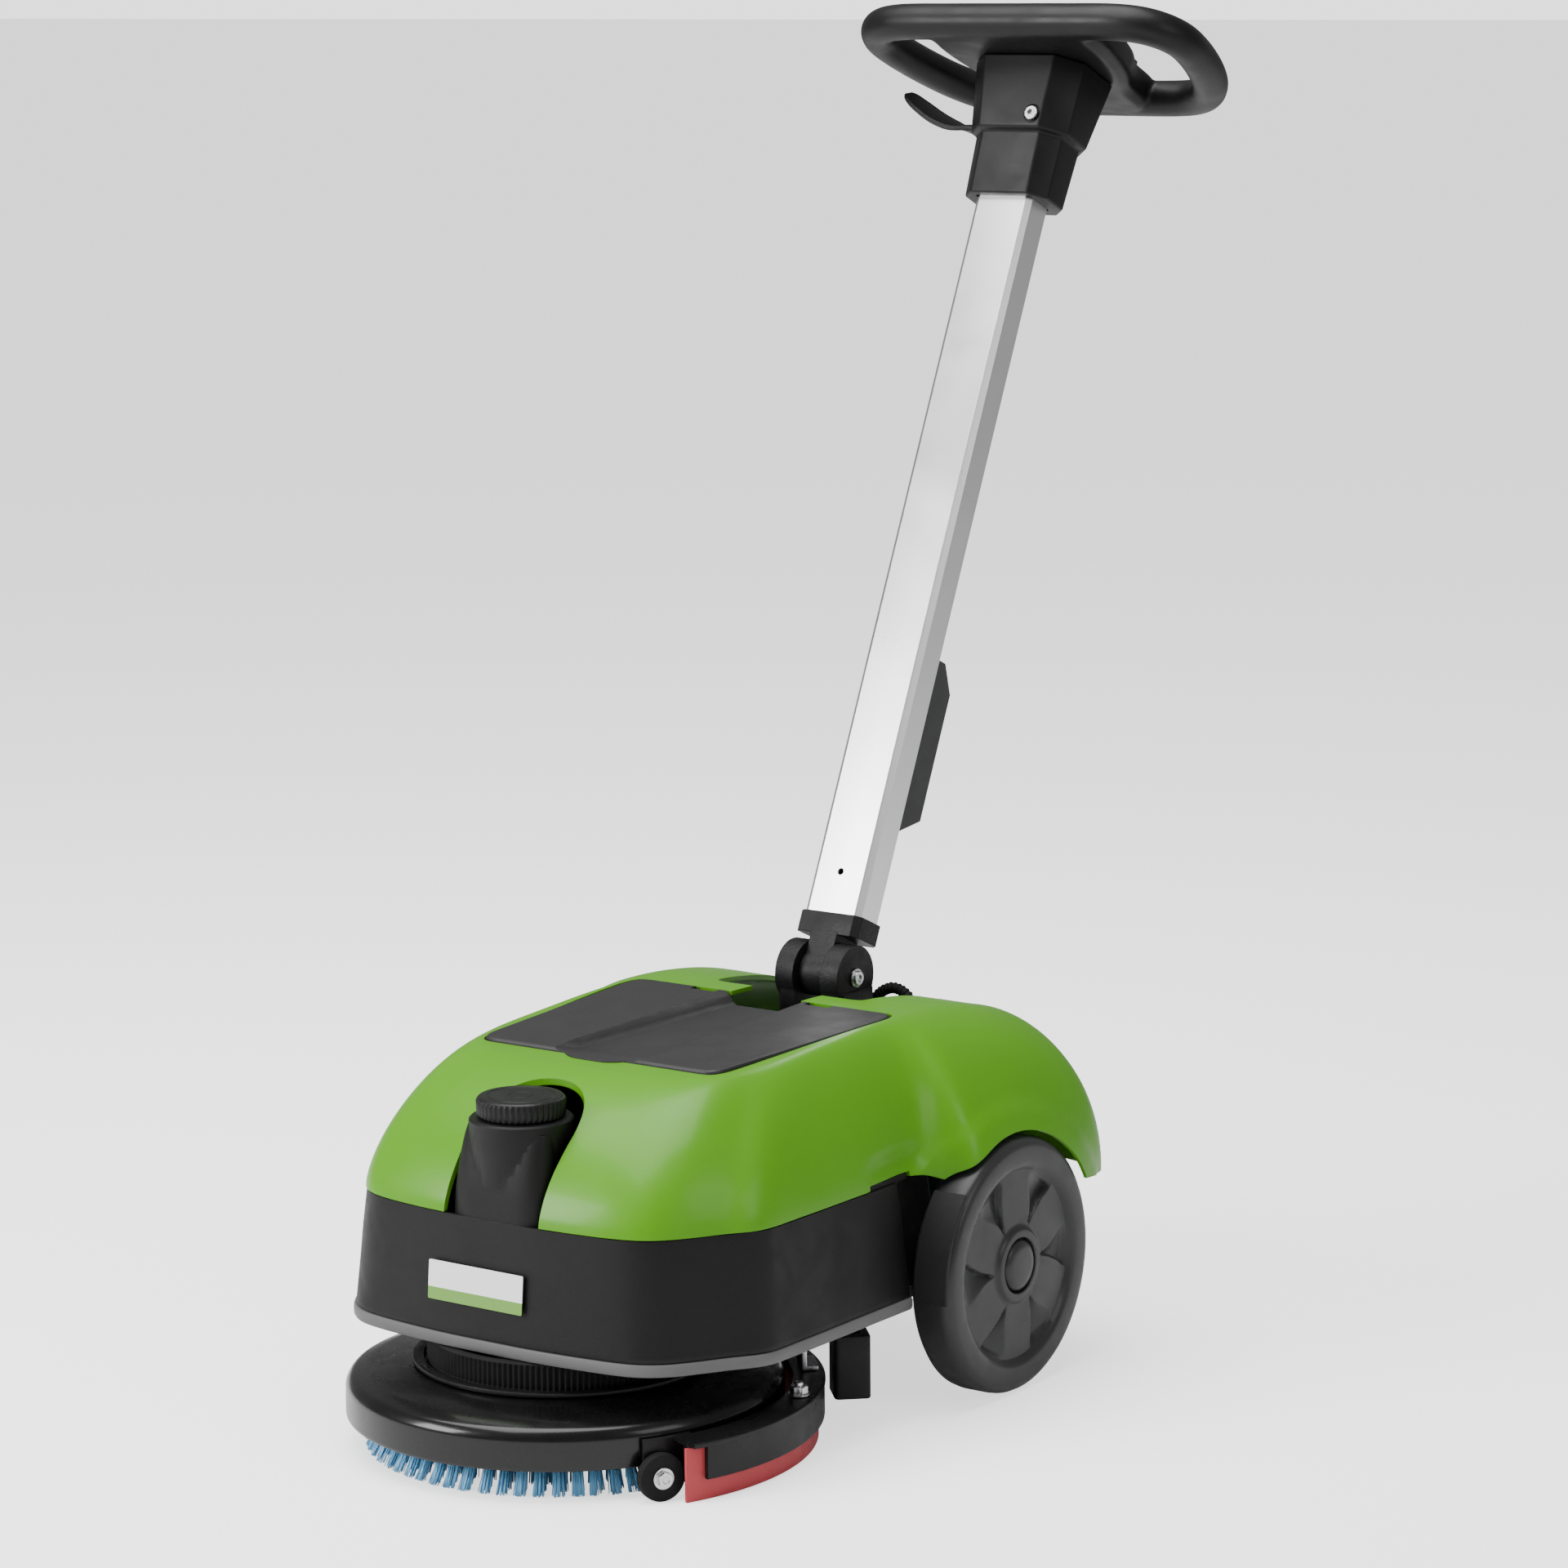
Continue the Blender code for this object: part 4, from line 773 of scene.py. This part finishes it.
for name, stands, inner_r, low, a0, a1 in (
        ("squeegee_rear_blade", "squeegee_blade_rear", 173.0, 0.1, sweep_start - 1, sweep_end + 1),
        ("squeegee_front_blade", "squeegee_blade_front", 161.5, 0.6, sweep_start + 1.5, sweep_end - 1.5)):
    section = rounded([(inner_r, low), (inner_r + 3, low), (inner_r + 3, 37.5), (inner_r, 37.5)], 0.5, 2)
    blade = banded(name, section, a0, a1, red_finish, 120)
    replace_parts(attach(blade, "squeegee"), stands)


def swung(piece, angle):
    """Turns a piece drawn on the +X side round the brush axis."""
    piece.data.transform(Matrix.Translation(at(0, 0, 0)) @ Matrix.Rotation(radians(angle), 4, "Z")
                         @ Matrix.Translation(-at(0, 0, 0)))
    return piece


swing_section = rounded([(98, 59), (106, 59), (106, 62), (98, 62)], 0.6, 2)
swing = spun("squeegee_swing_arm", swing_section, zinc_finish, 128)
cut(swing, swung(bar("arm_tool", (101, -14, 59), (168, 14, 62), 1.0), sweep_middle), "UNION")
cut(swing, swung(bar("drop_tool", (164, -14, 42.8), (168, 14, 62), 1.0), sweep_middle), "UNION")
cut(swing, swung(bar("foot_tool", (164, -14, 42.8), (176, 14, 45.4), 1.0), sweep_middle), "UNION")
swing.data.materials.append(satin_finish)
for face in swing.data.polygons:
    face.material_index = 1 if hypot(face.center.x, face.center.y - at(0, 0, 0).y) < 0.112 else 0
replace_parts(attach(swing, "squeegee"), "squeegee_ring")
port = swung(eased(bar("suction_port_body", (187, -15, 20), (213, 15, 66), 4.0), 1.4), sweep_middle)
cut(port, swung(bar("duct_tool", (193, -9, 10), (207, 9, 80), 2.0), sweep_middle))
port.data.materials.clear()
port.data.materials.append(cast_finish)
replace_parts(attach(port, "squeegee"), "squeegee_port")
steel_finish = dressed("bright_steel", (0.6, 0.6, 0.61), 0.24, shade=0.06, grain_scale=300.0, metal=1.0,
                       grain_depth=0.00002, patch=60.0, wear=0.3, lift=1.2)


def hexagon(flats):
    """A shape rule that squeezes a round bar to a hexagon of that width across its flats."""
    def rule(r, h, a):
        turn_in = (a + pi / 6) % (pi / 3) - pi / 6
        return min(r, flats / 2 / cos(turn_in)), h
    return rule


stud_radius, stud_spread = 169, 24
nut_side = [(0, 42.3), (7.4, 42.3), (7.6, 42.6), (7.6, 43.3), (7.4, 43.6), (6.3, 43.7), (6.35, 44.0),
            (6.35, 48.4), (5.6, 49.0), (3.2, 49.0), (3.2, 51.2), (2.6, 51.8), (0, 51.8)]
for number, angle in ((1, sweep_middle - stud_spread), (2, sweep_middle + stud_spread)):
    hexed = hexagon(11.0)
    nut = spun("squeegee_stud_nut_%d" % number, nut_side, steel_finish, 72,
               (stud_radius * cos(radians(angle)), stud_radius * sin(radians(angle)), 0),
               shape=lambda r, h, a: hexed(r, h, a) if 43.65 < h < 49.1 and r > 4 else (r, h), crisp=25.0)
    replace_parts(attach(nut, "squeegee"), "squeegee_nut_%d" % number)
bolt_line = [(0, 157.9), (2.9, 157.9), (2.9, 166.3), (7.4, 166.3), (7.4, 167.1), (5.6, 167.2),
             (5.6, 170.4), (5.0, 170.9), (2.6, 170.9), (2.3, 170.2), (0, 170.2)]
for label, edge_angle, way in (("front", sweep_start, -1), ("rear", sweep_end, 1)):
    spot = edge_angle + way * 5.2
    roller_line = rounded([(158.0, 3.05), (158.0, 16.5), (166.0, 16.5), (166.0, 3.05)], 1.6, 4)
    roller = spun("guide_roller_" + label, [(r, h) for h, r in roller_line], rubber_finish, 64,
                  (0, 0, 16.5), "X")
    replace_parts(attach(swung(roller, spot), label + "_roller"), "roller_" + label)
    hexed = hexagon(9.6)
    bolt = spun("guide_roller_bolt_" + label, bolt_line, steel_finish, 72, (0, 0, 16.5), "X",
                lambda r, h, a: hexed(r, h, a) if h > 167.15 and r > 4 else (r, h), 25.0)
    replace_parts(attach(swung(bolt, spot), "squeegee"), "roller_bolt_" + label)

# ---- wheels ----
# Two grey nylon wheels on a steel axle: a broad smooth tread, a dished disc with six swept
# pockets like a turbine, a round hub boss and a snap cap. Each runs behind a curved flap.
WHEEL_GREY = (0.028, 0.028, 0.029)
wheel_finish = dressed("wheel_grey_plastic", WHEEL_GREY, 0.36, shade=0.12, grain_scale=520.0,
                       grain_depth=0.00005, patch=14.0, wear=0.4, lift=1.7, coat=0.1, polish=0.09)
flap_finish = dressed("flap_grey_plastic", (0.014, 0.014, 0.0145), 0.6, shade=0.12, grain_scale=900.0,
                      grain_depth=0.0002, wear=0.4)
wheel_rim, wheel_in, wheel_out, pocket_count = 93.0, 173.0, 208.0, 6


def pockets(side):
    """Six swept triangular pockets in the disc, deep on one edge and running out on the other."""
    def rule(r, h, a):
        if not (24 < r < 73) or side * h < 196:
            return r, h
        turn_share = (side * a * pocket_count / (2 * pi) + 0.25 * (r - 30) / 40.0) % 1.0
        width = 0.1 + 0.36 * ease(r, 31, 66)
        inside = ease(turn_share, 0.0, 0.035) * (1 - turn_share / width) if turn_share < width else 0.0
        fade = ease(r, 31, 35) * (1 - ease(r, 64.5, 68))
        return r, h - side * 5.5 * max(0.0, inside) * fade
    return rule


disc = [(68.5 - 1.5 * k, wheel_out - 4.4 + 0.9 * ease(68.5 - 1.5 * k, 68.5, 30)) for k in range(26)]
tread = [(8.05, wheel_in), (24, wheel_in), (28, wheel_in + 6), (70, wheel_in + 8), (74, wheel_in + 1),
         (84, wheel_in), (89, wheel_in + 1.2), (92.2, wheel_in + 4.5), (wheel_rim, wheel_in + 9),
         (wheel_rim, wheel_out - 10), (92.6, wheel_out - 6), (91, wheel_out - 2.8),
         (88.6, wheel_out - 0.8), (85.5, wheel_out), (76, wheel_out - 0.3), (73, wheel_out - 0.8),
         (70.6, wheel_out - 2.4)]
hub_ring = [(29, wheel_out - 3.4), (27.2, wheel_out - 2.2), (26.2, wheel_out - 0.9), (25, wheel_out - 0.6),
            (20.8, wheel_out - 0.6), (20.2, wheel_out - 1.2), (20, wheel_out - 7), (8.05, wheel_out - 7)]
tread = tread + disc + hub_ring
boss = [(0, 209.5), (11, 209.4), (14, 209.0), (16.6, 208.0), (18.2, 206.6), (18.5, 205.6), (18.5, 201.4),
        (8.6, 201.4), (8.6, 205.4), (0, 205.4)]
flap_section = rounded([(182, 96.5), (209, 96.5), (209, 99.5), (182, 99.5)], 0.8, 3)
for side, label in ((1, "right"), (-1, "left")):
    wheel = spun("wheel_disc_" + label, [(r, side * h) for r, h in tread], wheel_finish, 360,
                 (0, axle_y, axle_z), "X", pockets(side), 40.0)
    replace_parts(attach(wheel, label + "_wheel"), "wheel_" + label)
    snap_cap = spun("hub_snap_cap_" + label, [(r, side * h) for r, h in boss], wheel_finish, 72,
                    (0, axle_y, axle_z), "X", crisp=40.0)
    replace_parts(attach(snap_cap, label + "_wheel"), "wheel_cap_" + label)
    flap_rings = []
    for k in range(33):
        a = radians(-4 + 47 * k / 32)
        flap_rings.append([at(side * x, axle_y - r * cos(a), axle_z + r * sin(a)) for x, r in flap_section])
    flap = skin("wheel_guard_flap_" + label, flap_rings, flap_finish)
    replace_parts(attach(flap, "chassis"), "wheel_flap_" + label)
wearing(["bearing_block_left", "bearing_block_right"], wheel_finish)
wearing(["wheel_axle"], steel_finish)

# ---- drive, pump, batteries and board inside the body ----
# Grey enamelled motors and gearbox, two sealed batteries, a small pump and a green circuit
# board, all hidden once the cover is on.
motor_finish = dressed("motor_grey_enamel", (0.2, 0.2, 0.21), 0.42, shade=0.15, grain_scale=300.0,
                       grain_depth=0.0002, metal=0.6, wear=0.6)
battery_finish = dressed("battery_case_plastic", (0.06, 0.06, 0.065), 0.45, shade=0.15, wear=0.4)
board_finish = dressed("circuit_board_green", (0.02, 0.12, 0.06), 0.4, shade=0.3, grain_scale=200.0,
                       patch=120.0, grain_depth=0.0001, wear=0.2)
wearing(["gearbox", "brush_motor", "suction_motor", "water_pump"], motor_finish)
wearing(["battery_left", "battery_right"], battery_finish)
wearing(["control_board"], board_finish)

# ---- mast hinge ----
# A heavy cast post with two round cheeks, painted textured black, a steel pin through them, and
# the cast foot that the mast tube is pushed over. The mast folds about the pin.
wearing(["hinge_bracket", "mast_foot"], cast_finish)
wearing(["hinge_pin"], steel_finish)
fold_spot, mast_tilt = (0, 318, 272), 24.5
lean_back = Matrix.Rotation(-radians(mast_tilt), 4, "X")


def leaned(piece, body=None, stands=None):
    """Leans a piece, drawn upright about the fold axis, back with the mast."""
    piece.data.transform(Matrix.Translation(at(*fold_spot)) @ lean_back @ Matrix.Translation(-at(0, 0, 0)))
    if body:
        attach(piece, body)
    if stands:
        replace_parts(piece, stands)
    return piece


head_line = [(0, 28.4), (6.6, 28.4), (7.0, 28.8), (7.0, 29.6), (5.4, 29.7), (5.4, 31.4), (5.0, 31.9),
             (2.6, 31.9), (2.5, 30.8), (0, 30.8)]
for side, label in ((1, "right"), (-1, "left")):
    pin_head = spun("hinge_pin_head_" + label, [(r, side * h) for r, h in head_line], steel_finish, 72,
                    fold_spot, "X", crisp=25.0)
    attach(pin_head, "chassis")

# ---- mast ----
# A satin anodised aluminium extrusion, its front face slightly crowned and its corners
# chamfered, drawn lines running up it, with a small round hole low on the front.
mast_width, mast_depth, mast_middle = 50.0, 30.0, 4.8
alloy_finish = dressed("anodised_aluminium", (0.86, 0.86, 0.87), 0.3, shade=0.03, grain_scale=200.0,
                       grain_depth=0.00001, patch=3.0, metal=1.0, wear=0.2, lift=1.1, polish=0.04)
tree = alloy_finish.node_tree
drawn = tree.nodes.new("ShaderNodeTexNoise")
stretch = tree.nodes.new("ShaderNodeMapping")
stretch.inputs["Rotation"].default_value = (radians(mast_tilt), 0.0, 0.0)
stretch.inputs["Scale"].default_value = (3000.0, 3000.0, 6.0)
wire(tree, tree.nodes["Texture Coordinate"].outputs["Object"], stretch.inputs["Vector"])
wire(tree, stretch.outputs["Vector"], drawn.inputs["Vector"])
wire(tree, drawn.outputs["Fac"], tree.nodes["Bump"].inputs["Height"])
front, rear = mast_middle - mast_depth / 2, mast_middle + mast_depth / 2
mast_line = [(-25, front + 4.2), (-21.4, front + 0.7), (-20.6, front + 0.35), (-10, front + 0.08),
             (0, front), (10, front + 0.08), (20.6, front + 0.35), (21.4, front + 0.7),
             (25, front + 4.2), (25, rear - 4), (24.4, rear - 3), (22, rear - 0.6), (21, rear),
             (-21, rear), (-22, rear - 0.6), (-24.4, rear - 3), (-25, rear - 4)]
mast = skin("mast_extrusion", stacked(mast_line, (44.3, 659.8)), alloy_finish, 20.0)
cut(mast, bar("bore_tool", (-21.8, front + 3.2, 20), (21.8, rear - 3.2, 700), 3.0), crisp=20.0)
cut(mast, spun("hole_tool", [(0, front - 5), (2.6, front - 5), (2.6, front + 6), (0, front + 6)], None, 32,
               (0, 0, 76.0), "Y"), crisp=20.0)
leaned(mast, "mast", "mast_tube")
box_finish = dressed("box_grey_plastic", (0.04, 0.04, 0.0415), 0.5, shade=0.1, wear=0.4, grain_depth=0.0001)
wearing(["mast_box"], box_finish)

# ---- head housing and its screw ----
# The black two-step octagonal casting that joins the mast to the ring handle. A socket screw in
# a recess on its front clamps it to the mast.
head_finish = dressed("head_black_plastic", (0.004, 0.004, 0.0041), 0.42, shade=0.12, grain_scale=1000.0,
                      grain_depth=0.00006, wear=0.6, polish=0.08)


def octagon(width, depth, corner, s):
    """An eight-sided ring across the mast at height s."""
    x, y, v = width / 2, depth / 2, mast_middle + 2
    return [at(px, py, s) for px, py in ((-x + corner, v - y), (x - corner, v - y), (x, v - y + corner),
                                         (x, v + y - corner), (x - corner, v + y), (-x + corner, v + y),
                                         (-x, v + y - corner), (-x, v - y + corner))]


screw_spot = (19.5, 0, 674)
head_steps = ((75, 48, 12, 613), (78, 53, 13, 662), (88, 63, 17, 664), (99, 79, 18, 720))
head = skin("mast_head_housing", [octagon(*step) for step in head_steps], head_finish)
eased(head, 1.8, 3, 20.0)
cut(head, bar("socket_tool", (-25.3, front - 0.3, 600), (25.3, rear + 0.3, 660.4), 4.0))
cut(head, bar("lever_tool", (-60, -4, 667), (-30, 14, 682), 1.0))
cut(head, spun("recess_tool", [(0, -50), (7, -50), (7, -24.5), (0, -24.5)], None, 48, screw_spot, "Y"))
leaned(head, "mast", "head_housing")
screw_line = [(0, -24.9), (5.5, -24.9), (5.5, -27.9), (5.0, -28.5), (3.0, -28.5), (2.9, -26.2), (0, -26.2)]
hexed_socket = hexagon(5.0)
screw = spun("clamp_socket_screw", screw_line, steel_finish, 72, screw_spot, "Y",
             lambda r, h, a: hexed_socket(r, h, a) if 2 < r < 4 else (r, h), 25.0)
leaned(screw, "mast", "head_screw")

# ---- ring handle and console ----
# One closed black grip ring, as thick as a broom handle, moulded in one with the console that
# crosses it. The keys and the battery gauge sit in a panel let into its top.
handle_finish = dressed("handle_black_plastic", (0.0042, 0.0042, 0.0043), 0.4, shade=0.14, grain_scale=1000.0,
                        grain_depth=0.00007, wear=0.4, polish=0.09, specular=0.25)
ring_height, grip = 734.5, 14.0
ring_half = [(0, -59), (50, -59), (96, -58), (121, -49), (134, -29), (134, -2), (126, 33), (114, 62),
             (97, 81), (68, 88), (0, 88)]
console_half = [(0, -60), (66, -60), (74, -50), (74, -20), (66, 20), (54, 50), (48, 88), (0, 88)]


def both_sides(half):
    """A closed loop from its right half."""
    return half + [(-x, y) for x, y in half if x > 0.01][::-1]


loop = both_sides(curved(ring_half, 8))
ring_sections = []
for k, (x, y) in enumerate(loop):
    ahead_of, behind = loop[(k + 1) % len(loop)], loop[k - 1]
    along = np.array(ahead_of) - np.array(behind)
    along = along / np.linalg.norm(along)
    ring_sections.append([at(x + grip * cos(a) * along[1], y - grip * cos(a) * along[0],
                             ring_height + grip * sin(a))
                          for a in np.linspace(0, 2 * pi, 32, endpoint=False)])
handle = skin("ring_handle", ring_sections, handle_finish, looped=True)
plan = both_sides(curved(console_half, 5))
console = skin("console_tool", [[at(x * w, y * d, s) for x, y in plan] for w, d, s in
                                ((0.9, 0.92, 720.4), (0.985, 0.985, 726), (1, 1, 730), (1, 1, 742),
                                 (0.985, 0.985, 746), (0.93, 0.94, 748.5))], None)
cut(handle, console, "UNION")
blend_in = handle.modifiers.new("one_moulding", "REMESH")
blend_in.mode = "VOXEL"
blend_in.voxel_size = 0.0016
relax = handle.modifiers.new("soft_joins", "SMOOTH")
relax.factor = 0.5
relax.iterations = 5
settled(handle, 60.0)
handle.data.materials.clear()
handle.data.materials.append(handle_finish)
cut(handle, bar("panel_tool", (-51, -41, 746.3), (51, 61, 765), 6.0), crisp=50.0)
leaned(handle, "mast", "handle_ring")
wearing(["console_panel"], box_finish)
wearing(["switch_brush", "switch_suction"], rubber_finish)
wearing(["battery_gauge"], board_finish)

# ---- paddle lever ----
# The squeeze lever under the left of the ring: a spoon of black plastic with a raised rim and a
# lighter grey soft infill, pivoted in a slot in the head.
# Along the lever: reach from the pivot, rise, half width and half thickness.
lever_path = curved([(-6, -2, 5.5, 2.5), (8, -2, 6.5, 2.5), (26, 0, 10, 2.3), (46, 7, 12.6, 2.2),
                     (66, 18, 11.6, 2.1), (76, 24.4, 8.6, 1.9), (80, 27, 5.2, 1.4)], 6)
pivot_u, pivot_v, pivot_s = -40.0, 5.0, 674.0


def lever_ring(reach, rise, wide, section):
    """A cross-section of the lever, twisted a little towards the hand as it leaves the head."""
    twist = 0.5 * ease(reach, 4, 34)
    return [at(pivot_u - reach, pivot_v + wide * share * (1 - 0.15 * twist),
               pivot_s + rise + drop + wide * share * twist) for share, drop in section]


paddle_rings, infill_rings = [], []
for reach, rise, wide, thick in lever_path:
    dish = 1.3 * ease(reach, 14, 26) * (1 - ease(reach, 70, 79))
    under, upper = -thick + dish, thick - 0.6 * dish
    paddle_rings.append(lever_ring(reach, rise, wide, (
        (-1, -0.4 * thick), (-0.86, -thick), (-0.7, under), (0.7, under), (0.86, -thick),
        (1, -0.4 * thick), (1, 0.4 * thick), (0.86, thick), (0.7, upper), (-0.7, upper),
        (-0.86, thick), (-1, 0.4 * thick))))
    if 22 < reach < 74:
        infill_rings.append(lever_ring(reach, rise, wide, (
            (-0.66, under - 0.5), (0.66, under - 0.5), (0.66, under - 0.1), (-0.66, under - 0.1))))
leaned(skin("squeeze_paddle", paddle_rings, handle_finish, 60.0), "lever", "paddle_lever")
leaned(skin("squeeze_paddle_infill", infill_rings, flap_finish, 60.0), "lever", None)

# ---- cable conduit ----
# The corrugated black hose that carries the mast's wires down through the tray: a moulded tube
# with a rib every three millimetres, held at both ends.
hose_keys = [(18, 349, 232), (20, 350, 243), (27, 351, 254), (38, 352, 259.5), (49, 353, 256), (55, 354, 246),
             (56, 355, 230), (56, 355, 213)]
hose_path = [np.array(p) for p in curved(hose_keys, 24)]
hose_rings, run, rib_pitch = [], 0.0, 3.0
for k, point in enumerate(hose_path):
    run += np.linalg.norm(point - hose_path[k - 1]) if k else 0.0
    tangent = hose_path[min(k + 1, len(hose_path) - 1)] - hose_path[max(k - 1, 0)]
    tangent = tangent / np.linalg.norm(tangent)
    side_way = np.cross(tangent, (0.0, 1.0, 0.0))
    side_way = side_way / np.linalg.norm(side_way)
    other_way = np.cross(tangent, side_way)
    girth = 4.05 + 0.42 * cos(2 * pi * run / rib_pitch)
    hose_rings.append([at(*(point + girth * (cos(a) * side_way + sin(a) * other_way)))
                       for a in np.linspace(0, 2 * pi, 24, endpoint=False)])
hose = skin("corrugated_conduit", hose_rings, rubber_finish, 50.0)
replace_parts(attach(hose, "chassis"), "cable_conduit")
